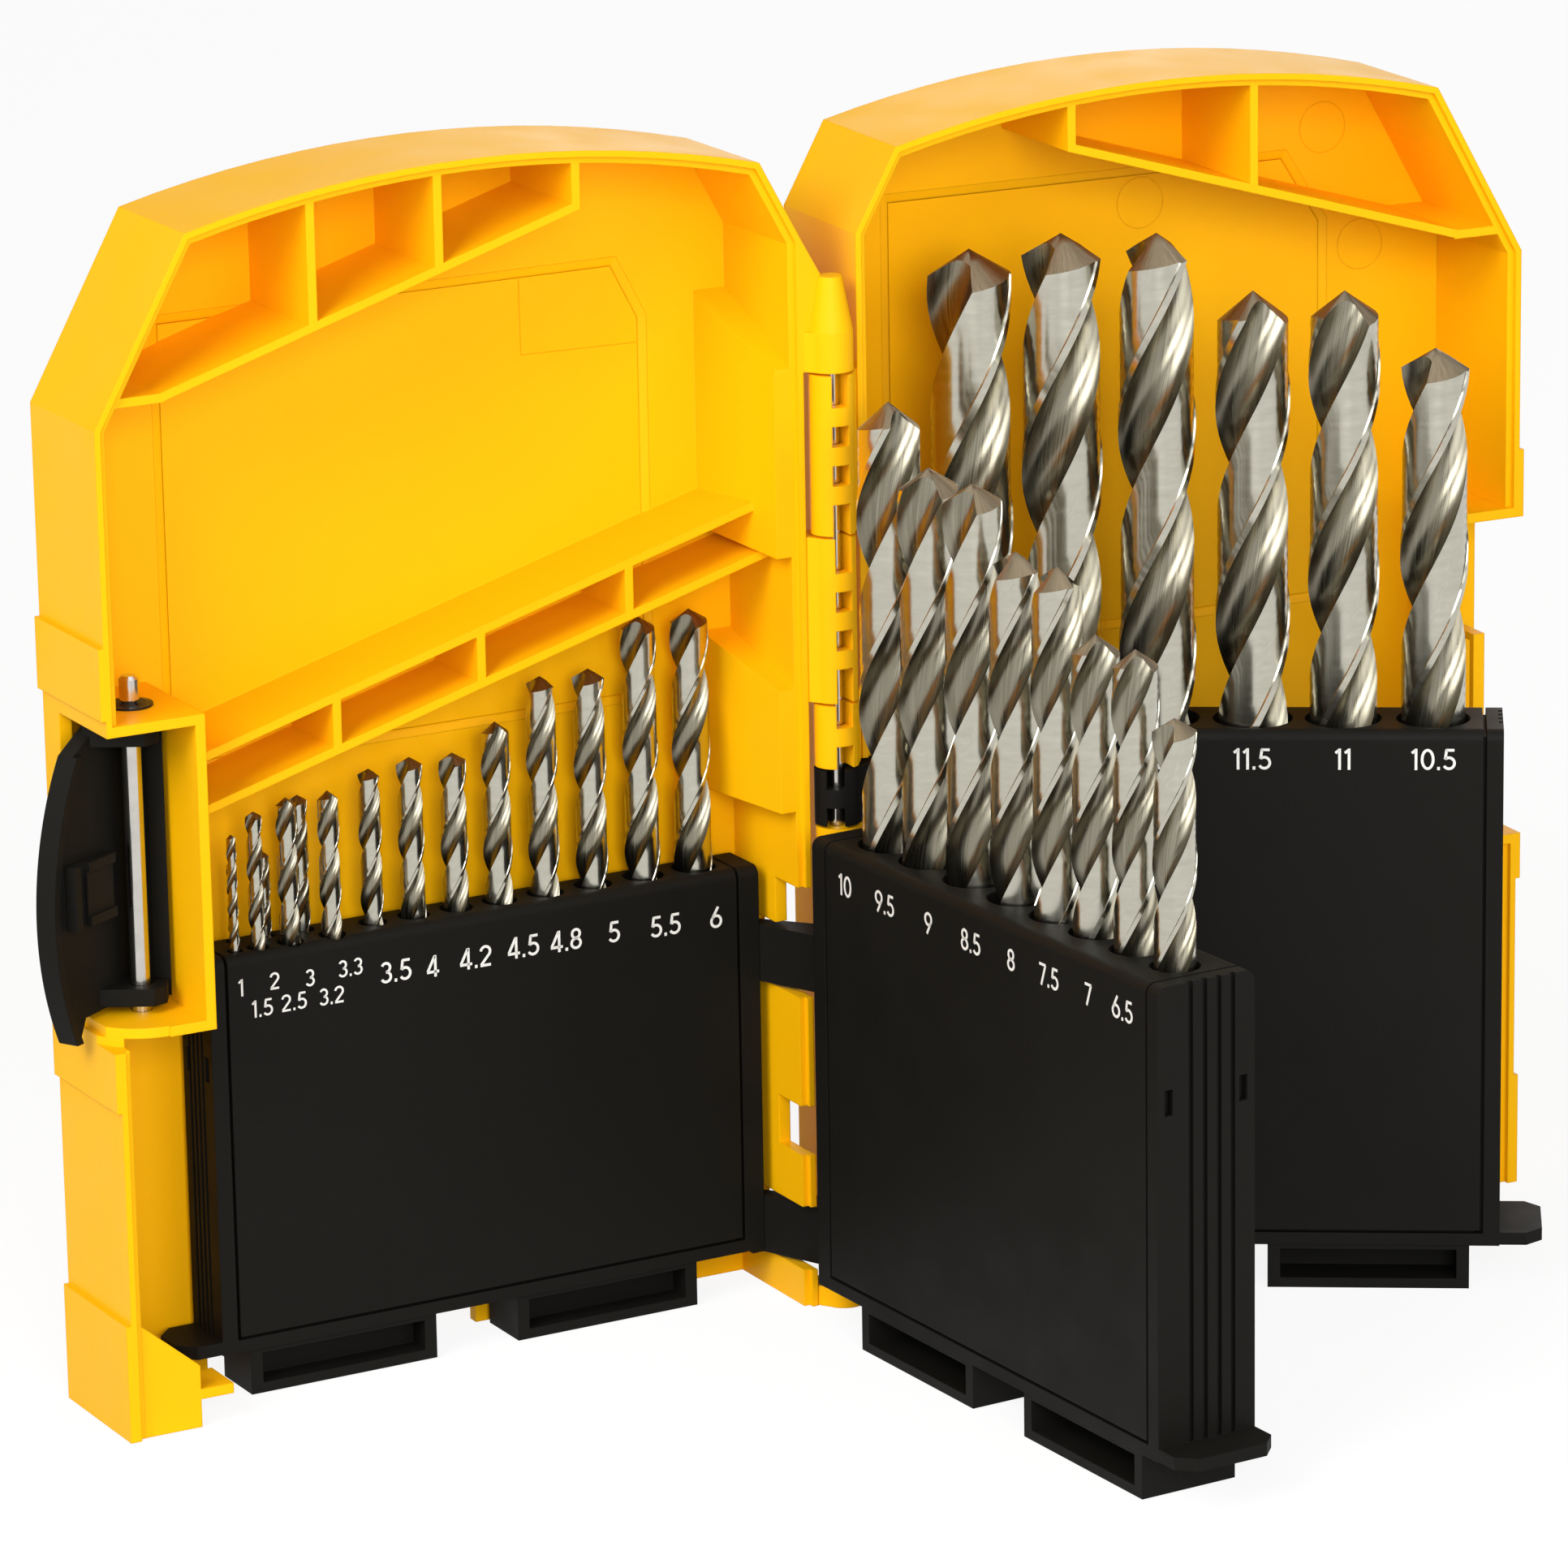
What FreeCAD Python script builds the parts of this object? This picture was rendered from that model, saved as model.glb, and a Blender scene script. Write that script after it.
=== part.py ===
"""A folding drill bit case: two half shells and three bit holders that turn on one steel pin.

Everything is drawn folded shut in one common frame: X runs from the hinge pin to the latch
side, Y runs from the left shell (negative) to the right shell (positive) and Z points up from
the surface the case stands on. Each piece is then turned about the hinge pin to stand open.
"""
import FreeCAD, Part
import Sketcher
import math
import os

doc = FreeCAD.newDocument("drill_bit_case")
sheet = doc.addObject("Spreadsheet::Sheet", "sizes")

UP = FreeCAD.Vector(0, 0, 1)
ORIGIN = FreeCAD.Vector(0, 0, 0)


class Size:
    """A length that knows its value and the sheet expression that gives it."""

    def __init__(self, value, text):
        self.value = float(value)
        self.text = text

    def __add__(self, other):
        other = as_size(other)
        return Size(self.value + other.value, f"({self.text} + {other.text})")

    def __sub__(self, other):
        other = as_size(other)
        return Size(self.value - other.value, f"({self.text} - {other.text})")

    def __neg__(self):
        return Size(-self.value, f"(0 - {self.text})")

    def __mul__(self, share):
        share = as_size(share)
        return Size(self.value * share.value, f"({self.text} * {share.text})")

    def __truediv__(self, share):
        share = as_size(share)
        return Size(self.value / share.value, f"({self.text} / {share.text})")


def as_size(number):
    return number if isinstance(number, Size) else Size(number, repr(float(number)))


class Sheet:
    """The driving dimensions, one spreadsheet row each, read back as attributes."""

    row = 0

    def add(self, alias, value, note=""):
        self.row += 1
        sheet.set(f"A{self.row}", alias)
        sheet.set(f"B{self.row}", str(value))
        sheet.setAlias(f"B{self.row}", alias)
        if note:
            sheet.set(f"C{self.row}", note)
        size = Size(value, f"sizes.{alias}")
        setattr(self, alias, size)
        return size


d = Sheet()

# Both half shells
d.add("wall", 2.0, "shell wall")
d.add("spine_x", 4.6, "outer face of the spine wall, from the hinge pin")
d.add("latch_side_x", 121.6, "outer face of the latch side wall")
d.add("spine_corner_z", 170.2, "foot of the spine side chamfer")
d.add("spine_corner_x", 11.6, "head of the spine side chamfer")
d.add("latch_corner_z", 155.4, "foot of the latch side chamfer")
d.add("latch_corner_x", 106.2, "head of the latch side chamfer")
d.add("shoulder_z", 182.9, "height of both arch ends")
d.add("arch_z", 188.8, "top of the arch")
d.add("left_depth", 23.4, "left shell, pin plane to its back")
d.add("right_depth", 25.4, "right shell, pin plane to its back")
d.add("rim_gap", 0.2, "each rim to the pin plane")
d.add("lip_width", 1.0, "thickness of the raised rim lip")
d.add("lip_height", 0.9, "height of the raised rim lip")
d.add("band_rise", 0.8, "raised grip bands on the latch side")
d.add("band_low_top", 18.4, "top of the lowest band")
d.add("band_mid_low", 51.8, "bottom of the band under the latch")
d.add("band_high_top", 123.0, "top of the band over the latch")
d.add("rib", 1.4, "thickness of the ribs and dividers")
d.add("sunk", 0.4, "depth of the recessed field in the back panel")
d.add("field_spine_x", 20.2, "recessed field, spine side")
d.add("field_latch_x", 103.0, "recessed field, latch side")
d.add("field_top_z", 166.4, "recessed field, top")
d.add("field_low_z", 96.0, "recessed field, bottom")
d.add("field_cut_x", 5.0, "recessed field, corner cut along X")
d.add("field_cut_z", 9.6, "recessed field, corner cut along Z")
d.add("overrun", 1.0, "how far cutting tools run past a face")

d.add("right_field_x", 99.4, "right shell's field, latch side")
d.add("right_field_z", 170.5, "right shell's field, top")
d.add("right_field_cut_x", 7.4, "right shell's field, corner cut along X")
d.add("right_field_cut_z", 11.7, "right shell's field, corner cut along Z")
d.add("panel_notch_low_x", 54.0, "cut at the foot of the back panel, spine side")
d.add("panel_notch_high_x", 100.0, "cut at the foot of the back panel, latch side")
d.add("panel_notch_z", 7.0, "height of that cut")

# Latch pocket in both shells
d.add("pocket_low_z", 64.0, "top of the lower pocket shelf")
d.add("pocket_high_z", 111.0, "top of the upper pocket shelf")
d.add("pocket_x", 107.4, "pocket side of the inner pocket wall")
d.add("pocket_wall", 1.6, "thickness of the pocket walls")
d.add("pocket_back", 17.6, "depth of the cut in the left latch side wall")
d.add("mouth_back", 14.0, "depth of the cut in the right latch side wall")
d.add("mouth_low_z", 59.4, "bottom of the right shell's latch opening")
d.add("mouth_high_z", 112.0, "top of the right shell's latch opening")
d.add("catch_x", 113.4, "inner face of the catch wall")
d.add("catch_thick", 2.0, "thickness of the catch wall")
d.add("catch_bar", 1.2, "width of the bar that the hook grips")
d.add("catch_high_z", 93.6, "top of the catch wall")
d.add("catch_window_low_z", 78.8, "window behind the catch bar, bottom")
d.add("catch_window_high_z", 92.4, "window behind the catch bar, top")
d.add("catch_window_deep", 11.0, "windows of the catch wall, from the pin plane")
d.add("catch_vent_low_z", 64.0, "lower window, bottom")
d.add("catch_vent_high_z", 76.4, "lower window, top")
d.add("mouth_shelf_x", 112.0, "inner end of the shelf over the mouth")

# Diagonal ribs of the left shell that stop the bits from riding up
d.add("rib_slope", 0.281, "rise of the diagonal ribs per unit of run")
d.add("stop_low_z", 92.4, "lower stop rib at the pocket wall, underside")
d.add("stop_step", 8.2, "lower stop rib to upper stop rib")
d.add("stop_front", 7.0, "front edge of the stop ribs from the pin plane")
d.add("roof_knee_x", 110.6, "latch side end of the sloping roof rib")
d.add("roof_low_z", 158.2, "roof rib at its knee, underside")
d.add("roof_end_x", 41.4, "spine side end of the roof ribs")
d.add("roof_end_z", 179.0, "roof rib at that end, underside")

# Spine wall bosses
d.add("boss_back", 5.4, "thickness of the spine bosses at the back panel")
d.add("boss_rim", 2.6, "thickness of the spine bosses at the rim")
d.add("boss_top_z", 160.0, "upper spine boss, top at the back panel")
d.add("boss_top_rim_z", 150.5, "upper spine boss, top at the rim")
d.add("boss_mid_z", 122.6, "upper spine boss, bottom at the back panel")
d.add("boss_mid_rim_z", 121.0, "upper spine boss, bottom at the rim")
d.add("boss_low_top_z", 106.0, "lower spine boss, top at the back panel")
d.add("boss_low_rim_z", 100.2, "lower spine boss, top at the rim")
d.add("boss_low_z", 80.6, "lower spine boss, bottom")

# Bracket at the foot of the latch side wall
d.add("bracket_x", 110.2, "inner end of the upright bracket plate")
d.add("bracket_wall_z", 18.6, "upright plate at the wall, top")
d.add("bracket_end_z", 9.8, "upright plate at its end, top")
d.add("bracket_shelf_x", 104.8, "inner end of the bracket shelf")
d.add("bracket_shelf_z", 6.0, "top of the bracket shelf")

# Hinge
d.add("pin_diameter", 2.4, "hinge pin")
d.add("pin_clearance", 0.15, "play round the hinge pin, each side")
d.add("pin_low_z", 1.2, "foot of the hinge pin")
d.add("pin_high_z", 156.6, "head of the hinge pin")
d.add("barrel_diameter", 7.0, "hinge knuckles")
d.add("knuckle_gap", 0.4, "gap between neighbouring knuckles")
d.add("knuckle_top_z", 156.0, "top of the top knuckle")
d.add("knuckle_a_z", 149.8, "top knuckle, bottom")
d.add("knuckle_b_z", 124.4, "second knuckle, bottom")
d.add("knuckle_c_z", 98.0, "third knuckle, bottom")
d.add("knuckle_d_z", 87.6, "fourth knuckle, bottom")
d.add("ledge_low_z", 76.3, "right shell's ledge under its holder's arm")
d.add("foot_knuckle_low_z", 16.4, "right shell's foot knuckle, bottom")
d.add("foot_knuckle_high_z", 25.0, "right shell's foot knuckle, top")
d.add("pin_bevel", 0.3, "bevel at both ends of the hinge pin")
d.add("cap_rise", 8.4, "rise of the cap over the top knuckle")
d.add("cap_tip", 1.9, "radius of the cap's tip")
d.add("foot_ring_z", 3.2, "top of the left shell's foot ring")
d.add("foot_ring_low_z", 0.0, "bottom of the left shell's foot ring")
d.add("bar_height", 2.9, "bars across the open front of a knuckle")
d.add("bar_pitch", 6.1, "spacing of those bars")
d.add("slot_width", 2.8, "width of the open front of a knuckle")
d.add("web", 3.4, "depth of the webs that carry the knuckles")

# Bit holders, all three
d.add("holder_x", 8.4, "spine end of the holders")
d.add("cover_x", 12.3, "spine end of the covers")
d.add("cover_end_x", 99.4, "latch end of the covers")
d.add("end_wall_x", 99.9, "inner face of the latch end wall")
d.add("holder_end_x", 102.5, "outer face of the latch end wall")
d.add("spine_wall_end_x", 11.8, "inner face of the spine end wall")
d.add("rail_low_z", 7.2, "bottom rail, underside")
d.add("rail_top_z", 9.2, "bottom rail, top")
d.add("groove", 0.5, "groove round the cover")
d.add("groove_depth", 1.2, "depth of that groove")
d.add("edge_round", 1.6, "rounding of the long top edges")
d.add("foot_one_x", 20.5, "first foot, spine side")
d.add("foot_two_x", 66.2, "second foot, spine side")
d.add("foot_length", 31.6, "each foot along X")
d.add("foot_wall", 2.0, "side walls of the foot windows")
d.add("foot_floor", 1.6, "floor of the foot windows")
d.add("foot_inset", 0.3, "feet behind the holder's faces")
d.add("foot_web", 1.4, "web between the two foot windows")
d.add("tongue_x", 109.2, "tip of the tongue")
d.add("tongue_top_z", 9.4, "top of the tongue")
d.add("tongue_thick", 2.0, "thickness of the tongue")
d.add("tongue_cut", 2.5, "corner cuts of the tongue")
d.add("flute_width", 0.8, "grooves in the latch end wall")
d.add("flute_deep", 0.7, "depth of those grooves")
d.add("snap_width", 1.4, "snap windows in the latch end wall")
d.add("snap_height", 3.9, "height of the snap windows")
d.add("snap_drop", 15.6, "snap windows below the holder's top")
d.add("snap_inset", 1.3, "snap windows from the holder's faces")
d.add("hood_wall", 0.7, "wall of the covers")
d.add("hood_top", 2.2, "top plate of the covers")
d.add("row_gap", 2.4, "front and back rows of small bits from the middle")
d.add("bit_seat", 0.1, "bits over the floors of their sockets")
d.add("bore_play", 0.15, "play round a bit in its socket, each side")
d.add("mouth_play", 0.5, "play round a bit in its cover hole, each side")

# Left holder, the small bits
d.add("left_front_y", -10.4, "front face")
d.add("left_back_y", -20.8, "back face")
d.add("left_top_z", 69.9, "top")
d.add("left_floor_z", 18.2, "floor of the deep sockets")

# Middle holder
d.add("middle_front_y", -9.8, "front face")
d.add("middle_back_y", 7.2, "back face")
d.add("middle_top_z", 79.4, "top")
d.add("middle_floor_z", 15.3, "floor of the sockets")

# Right holder, the large bits
d.add("right_front_y", 7.7, "front face")
d.add("right_back_y", 23.1, "back face")
d.add("right_top_z", 90.9, "top")
d.add("right_floor_z", 16.5, "floor of the sockets")

# Arms of the holders round the hinge pin
d.add("arm_wide", 4.6, "root of the outer holders' arms along Y")
d.add("arm_root", 2.0, "root of the arms inside the spine end wall")
d.add("arm_inset", 0.3, "root of those arms from the holder's front")
d.add("middle_arm_wide", 6.8, "root of the middle holder's arms along Y")
d.add("middle_arm_inset", 5.0, "root of those arms from the holder's front")
d.add("arm_room", 0.6, "room round an arm in the spine walls")
d.add("arm_notch", 15.6, "notches for the outer arms, from the pin plane")
d.add("middle_notch", 8.4, "notches for the middle arms, from the pin plane")
d.add("left_arm_low_z", 6.6, "left holder, lower arm")
d.add("left_arm_high_z", 51.2, "left holder, upper arm")
d.add("left_arm_tall", 9.2, "height of the left holder's arms")
d.add("middle_arm_low_z", 25.5, "middle holder, lower arm")
d.add("middle_arm_high_z", 61.0, "middle holder, upper arm")
d.add("middle_arm_tall", 6.8, "height of the middle holder's arms")
d.add("right_arm_low_z", 36.0, "right holder, lower arm")
d.add("right_arm_high_z", 78.4, "right holder, upper arm")
d.add("right_arm_tall", 8.8, "height of the right holder's arms")

# Latch, drawn folded over both side walls
d.add("latch_pin_x", 113.3, "latch pin")
d.add("latch_pin_y", -10.5, "latch pin")
d.add("latch_pin_diameter", 3.1, "latch pin")
d.add("latch_pin_high_z", 115.6, "head of the latch pin")
d.add("latch_pin_head", 0.5, "chamfer at the head of the latch pin")
d.add("latch_low_z", 65.4, "lower latch arm, underside")
d.add("latch_high_z", 108.8, "upper latch arm, top")
d.add("latch_arm", 3.3, "thickness of the upper latch arm")
d.add("latch_low_arm", 2.7, "thickness of the lower latch arm")
d.add("latch_arm_wide", 5.9, "latch arms along the plate, ahead of the pin axis")
d.add("latch_arm_back", 4.2, "latch arms behind the pin axis, away from the plate")
d.add("latch_web_back", 5.3, "web behind the pin, from the pin axis")
d.add("latch_web_room", 3.6, "inner face of that web, from the pin axis")
d.add("pad_rise", 0.9, "rise of the pad under the hook from the plate")
d.add("latch_offset", 3.2, "latch pin axis to the plate's inner face")
d.add("latch_plate", 2.7, "thickness of the latch plate")
d.add("latch_tail", 6.5, "plate behind the pin axis")
d.add("latch_crown_reach", 10.2, "end of the sloping top edge, from the pin axis")
d.add("latch_crown_z", 105.0, "height there")
d.add("latch_reach", 17.0, "furthest point of the free edge")
d.add("latch_reach_z", 84.6, "height there")
d.add("latch_tip_reach", 12.9, "lower end of the free edge")
d.add("latch_tip_z", 61.4, "height there")
d.add("latch_foot_reach", 9.6, "start of the slope down to the tip")
d.add("latch_foot_z", 64.8, "height there")
d.add("latch_room", 0.3, "room round the latch")
d.add("latch_rim", 1.6, "raised rim along the free edge")
d.add("latch_rim_rise", 0.7, "rise of that rim on the inner face")
d.add("latch_open_angle", 60.0, "latch swung open from the closed case, degrees")
d.add("hook_rise", 2.2, "rise of the hook and its ledges from the plate")
d.add("hook_width", 1.4, "width of the hook")
d.add("hook_room", 0.4, "room between the hook and the catch bar")
d.add("hook_start", 3.6, "start of the pad and the ledges, from the pin axis")
d.add("hook_low_z", 79.4, "bottom of the hook")
d.add("hook_high_z", 89.2, "top of the hook")
d.add("ledge", 1.5, "thickness of the ledges beside the hook")
d.add("nut_diameter", 7.0, "push nut")
d.add("nut_thick", 0.4, "thickness of the push nut")
d.add("nut_crown", 4.4, "raised centre of the push nut")
d.add("nut_rise", 0.7, "height of the raised centre")
d.add("seat_play", 0.1, "play of pressed and seated parts, each side")

# Drill bits: helix angle in degrees and the shares of the diameter that shape a section
d.add("helix_angle", 28.0, "helix of the flutes, degrees")
d.add("point_angle", 118.0, "point angle, degrees")
d.add("shank_bevel", 0.4, "bevel at the foot of a bit")
d.add("turn_step", 47.0, "turn of each bit after the last one, degrees")

# Angles about the hinge pin with the case standing open, degrees
d.add("right_shell_angle", 25.29)
d.add("right_holder_angle", -4.23)
d.add("middle_holder_angle", -58.88)
d.add("left_holder_angle", -151.0)
d.add("left_shell_angle", -151.45)

# Shares of one size that place small things on another
stop_divider_shares = (0.26, 0.51, 0.75)
roof_divider_shares = (0.0, 0.33, 0.63)
right_roof_divider_shares = (0.0, 0.46)
flute_shares = (0.345, 0.49, 0.635, 0.775)
flute_floor_share = 0.3
web_shoulder_share = 0.7
web_touch_share = 0.99
arm_touch_share = 0.98
block_rise_share = 0.75
arm_corner_shares = (0.87, 0.42, 0.19, 0.56, 0.9, 0.35)
web_corner_shares = (0.48, 0.8, 0.3, 0.95, 0.28)
flute_side_degrees = 46.0

# Bit sizes, standard jobber lengths: name, diameter, overall length, flute length,
# distance from the hinge pin, row (front 1, back -1) and height of its socket's floor
LEFT_BITS = (
    ("1_0", 1.0, 34.0, 12.0, 95.0, -1, 48.0), ("1_5", 1.5, 40.0, 18.0, 96.8, 1, 48.0),
    ("2_0", 2.0, 49.0, 24.0, 89.4, -1, 34.0), ("2_5", 2.5, 57.0, 30.0, 93.0, 1, 34.0),
    ("3_0", 3.0, 61.0, 33.0, 83.4, -1, 30.0), ("3_2", 3.2, 65.0, 36.0, 87.6, 1, 27.4),
    ("3_3", 3.3, 65.0, 36.0, 80.6, 1, 27.4), ("3_5", 3.5, 70.0, 39.0, 72.5, 0, 24.0),
    ("4_0", 4.0, 75.0, 43.0, 65.6, 0, 19.8), ("4_2", 4.2, 75.0, 43.0, 58.3, 0, 19.4),
    ("4_5", 4.5, 80.0, 47.0, 50.9, 0, 18.2), ("4_8", 4.8, 86.0, 52.0, 43.0, 0, 18.2),
    ("5_0", 5.0, 86.0, 52.0, 34.7, 0, 18.2), ("5_5", 5.5, 93.0, 57.0, 25.9, 0, 18.2),
    ("6_0", 6.0, 93.0, 57.0, 17.0, 0, 18.2),
)
MIDDLE_BITS = (
    ("6_5", 6.5, 101.0, 63.0, 94.6, 0, 15.3), ("7_0", 7.0, 109.0, 69.0, 84.6, 0, 15.3),
    ("7_5", 7.5, 109.0, 69.0, 74.3, 0, 15.3), ("8_0", 8.0, 117.0, 75.0, 64.2, 0, 15.3),
    ("8_5", 8.5, 117.0, 75.0, 53.2, 0, 15.3), ("9_0", 9.0, 125.0, 81.0, 41.5, 0, 15.3),
    ("9_5", 9.5, 125.0, 81.0, 29.4, 0, 15.3), ("10_0", 10.0, 133.0, 87.0, 18.4, 0, 15.3),
)
RIGHT_BITS = (
    ("10_5", 10.5, 133.0, 87.0, 91.7, 0, 16.5), ("11_0", 11.0, 142.0, 94.0, 77.8, 0, 16.5),
    ("11_5", 11.5, 142.0, 94.0, 63.8, 0, 16.5), ("12_0", 12.0, 151.0, 101.0, 49.1, 0, 16.5),
    ("12_5", 12.5, 151.0, 101.0, 34.5, 0, 16.5), ("13_0", 13.0, 148.6, 101.0, 20.4, 0, 16.5),
)
for bit_name, diameter, length, flutes, reach, row, floor in LEFT_BITS + MIDDLE_BITS + RIGHT_BITS:
    d.add(f"bit_{bit_name}_diameter", diameter)
    d.add(f"bit_{bit_name}_length", length)
    d.add(f"bit_{bit_name}_flutes", flutes)
    d.add(f"bit_{bit_name}_x", reach)
    d.add(f"bit_{bit_name}_floor", floor)


def plane_of(body, role):
    for feature in body.Origin.OriginFeatures:
        if feature.Role == role:
            return feature
    raise ValueError(role)


def bind(obj, prop, size):
    size = as_size(size)
    obj.setExpression(prop, size.text)


def bind_base(obj, x=0, y=0, z=0):
    obj.Placement = FreeCAD.Placement(ORIGIN, FreeCAD.Rotation())
    for axis, size in (("x", x), ("y", y), ("z", z)):
        if isinstance(size, Size):
            bind(obj, f"Placement.Base.{axis}", size)


def box(name, x_span, y_span, z_span):
    """A box between three pairs of sizes, the lower one first."""
    solid = doc.addObject("Part::Box", name)
    bind(solid, "Length", as_size(x_span[1]) - x_span[0])
    bind(solid, "Width", as_size(y_span[1]) - y_span[0])
    bind(solid, "Height", as_size(z_span[1]) - z_span[0])
    bind_base(solid, x_span[0], y_span[0], z_span[0])
    return solid


def rod(name, x, y, z_span, radius):
    """An upright cylinder."""
    solid = doc.addObject("Part::Cylinder", name)
    bind(solid, "Radius", radius)
    bind(solid, "Height", as_size(z_span[1]) - z_span[0])
    bind_base(solid, x, y, z_span[0])
    return solid


def cap(name, x, y, z, radius, tip, rise):
    """An upright cone with its tip cut off."""
    solid = doc.addObject("Part::Cone", name)
    bind(solid, "Radius1", radius)
    bind(solid, "Radius2", tip)
    bind(solid, "Height", rise)
    bind_base(solid, x, y, z)
    return solid


def prism(name, plane, points, span, arcs=None):
    """A padded sketch: a closed outline in one origin plane, from span[0] to span[1].

    arcs gives the middle point of each side of the outline that is an arc, by its index.
    """
    arcs = arcs or {}
    body = doc.addObject("PartDesign::Body", name)
    sketch = body.newObject("Sketcher::SketchObject", f"{name}_outline")
    sketch.AttachmentSupport = [(plane_of(body, f"{plane}_Plane"), "")]
    sketch.MapMode = "FlatFace"
    points = [(as_size(a), as_size(b)) for a, b in points]
    spots = [FreeCAD.Vector(a.value, b.value, 0) for a, b in points]
    count = len(points)
    ends = {}
    for i in range(count):
        start, end = spots[i], spots[(i + 1) % count]
        if i in arcs:
            middle = FreeCAD.Vector(as_size(arcs[i][0]).value, as_size(arcs[i][1]).value, 0)
            sketch.addGeometry(Part.Arc(start, middle, end), False)
            first, last = sketch.getPoint(i, 1), sketch.getPoint(i, 2)
            forward = first.distanceToPoint(start) < last.distanceToPoint(start)
        else:
            sketch.addGeometry(Part.LineSegment(start, end), False)
            forward = True
        ends[i] = (1, 2) if forward else (2, 1)
    for i in range(count):
        after = (i + 1) % count
        sketch.addConstraint(
            Sketcher.Constraint("Coincident", i, ends[i][1], after, ends[after][0]))
    for i, (a, b) in enumerate(points):
        place_point(sketch, i, ends[i][0], a, b)
    for i, (a, b) in arcs.items():
        a, b = as_size(a), as_size(b)
        spot = sketch.addGeometry(Part.Point(FreeCAD.Vector(a.value, b.value, 0)), True)
        place_point(sketch, spot, 1, a, b)
        sketch.addConstraint(Sketcher.Constraint("PointOnObject", spot, 1, i))
    pad = body.newObject("PartDesign::Pad", f"{name}_pad")
    pad.Profile = sketch
    bind(pad, "Length", as_size(span[1]) - span[0])
    if plane == "XZ":
        bind_base(body, y=as_size(span[1]))
    elif plane == "XY":
        bind_base(body, z=as_size(span[0]))
    else:
        bind_base(body, x=as_size(span[0]))
    return body


def place_point(sketch, item, end, a, b):
    """Hold one point of a sketch at two bound distances from its origin."""
    for kind, size in (("DistanceX", a), ("DistanceY", b)):
        row = sketch.addConstraint(Sketcher.Constraint(kind, -1, 1, item, end, size.value))
        sketch.setExpression(f"Constraints[{row}]", size.text)


def root(size):
    return Size(math.sqrt(size.value), f"sqrt({size.text})")


def product(one, other):
    return Size(one.value * other.value, f"({one.text} * {other.text})")


def quotient(one, other):
    return Size(one.value / other.value, f"({one.text} / {other.text})")


def inset_corner(before, corner, after, depth):
    """The corner of an outline moved inward so that both its sides keep the same wall."""
    normals = []
    for (x0, z0), (x1, z1) in ((before, corner), (corner, after)):
        dx, dz = as_size(x1) - x0, as_size(z1) - z0
        long = root(product(dx, dx) + product(dz, dz))
        normals.append((quotient(-dz, long), quotient(dx, long)))
    (ax, az), (bx, bz) = normals
    spread = as_size(1) + product(ax, bx) + product(az, bz)
    move_x = quotient(product(depth, ax + bx), spread)
    move_z = quotient(product(depth, az + bz), spread)
    return as_size(corner[0]) + move_x, as_size(corner[1]) + move_z


def joined(name, solids):
    if len(solids) == 1:
        return solids[0]
    fuse = doc.addObject("Part::MultiFuse", name)
    fuse.Shapes = solids
    return fuse


def cut(name, solid, tools):
    result = doc.addObject("Part::Cut", name)
    result.Base = solid
    result.Tool = joined(f"{name}_tools", tools)
    return result


def common(name, one, other):
    result = doc.addObject("Part::MultiCommon", name)
    result.Shapes = [one, other]
    return result


nodes = []


def node(label, obj, angle=None):
    """Name the finished piece and turn it about the hinge pin."""
    obj.Label = label
    if angle is not None:
        obj.Placement = FreeCAD.Placement(ORIGIN, FreeCAD.Rotation(UP, angle.value))
    nodes.append(obj)
    return obj


# The two half shells. side is -1 for the left shell and 1 for the right one.
arch_middle_x = (d.latch_corner_x + d.spine_corner_x) / 2


def shell_outline(depth, foot):
    """The shell's outline seen from the front, moved inward by a wall."""
    outer = [
        (d.latch_side_x, as_size(0)), (d.latch_side_x, d.latch_corner_z),
        (d.latch_corner_x, d.shoulder_z), (d.spine_corner_x, d.shoulder_z),
        (d.spine_x, d.spine_corner_z), (d.spine_x, as_size(0)),
    ]
    crown = (arch_middle_x, d.arch_z)
    if depth is None:
        return outer, {2: crown}
    inner = [
        (d.latch_side_x - depth, foot),
        inset_corner(outer[0], outer[1], outer[2], depth),
        inset_corner(outer[1], outer[2], crown, depth),
        inset_corner(crown, outer[3], outer[4], depth),
        inset_corner(outer[3], outer[4], outer[5], depth),
        (d.spine_x + depth, foot),
    ]
    return inner, {2: (arch_middle_x, d.arch_z - depth)}


def depths(side, near, far):
    """A span along Y between two distances from the pin plane, on one shell's side."""
    near, far = as_size(near), as_size(far)
    return (near, far) if side > 0 else (-far, -near)


def sloped_rib(name, x_span, z_low, z_high_end, thick, y_span):
    """A rib that climbs from the latch side towards the spine."""
    points = [(x_span[1], z_low), (x_span[1], z_low + thick),
              (x_span[0], z_high_end + thick), (x_span[0], z_high_end)]
    return prism(name, "XZ", points, y_span)


def knuckle(name, z_span, side):
    """A hinge barrel with the web that joins it to the spine wall."""
    barrel = rod(f"{name}_barrel", 0, 0, z_span, d.barrel_diameter / 2)
    reach = d.barrel_diameter / 2
    near = reach * web_shoulder_share
    out = (-1 if side < 0 else 1)
    root_y = (d.rim_gap + d.knuckle_gap) * out
    points = [(as_size(0), reach * (-out) * web_touch_share), (near, near * (-out)),
              (d.spine_x, root_y), (d.spine_x + d.wall / 2, root_y),
              (d.spine_x + d.wall / 2, (d.web + reach) * out), (as_size(0), reach * out * web_touch_share)]
    if side > 0:
        points = points[::-1]
    web = prism(f"{name}_web", "XY", points, z_span)
    return [barrel, web]


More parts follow.
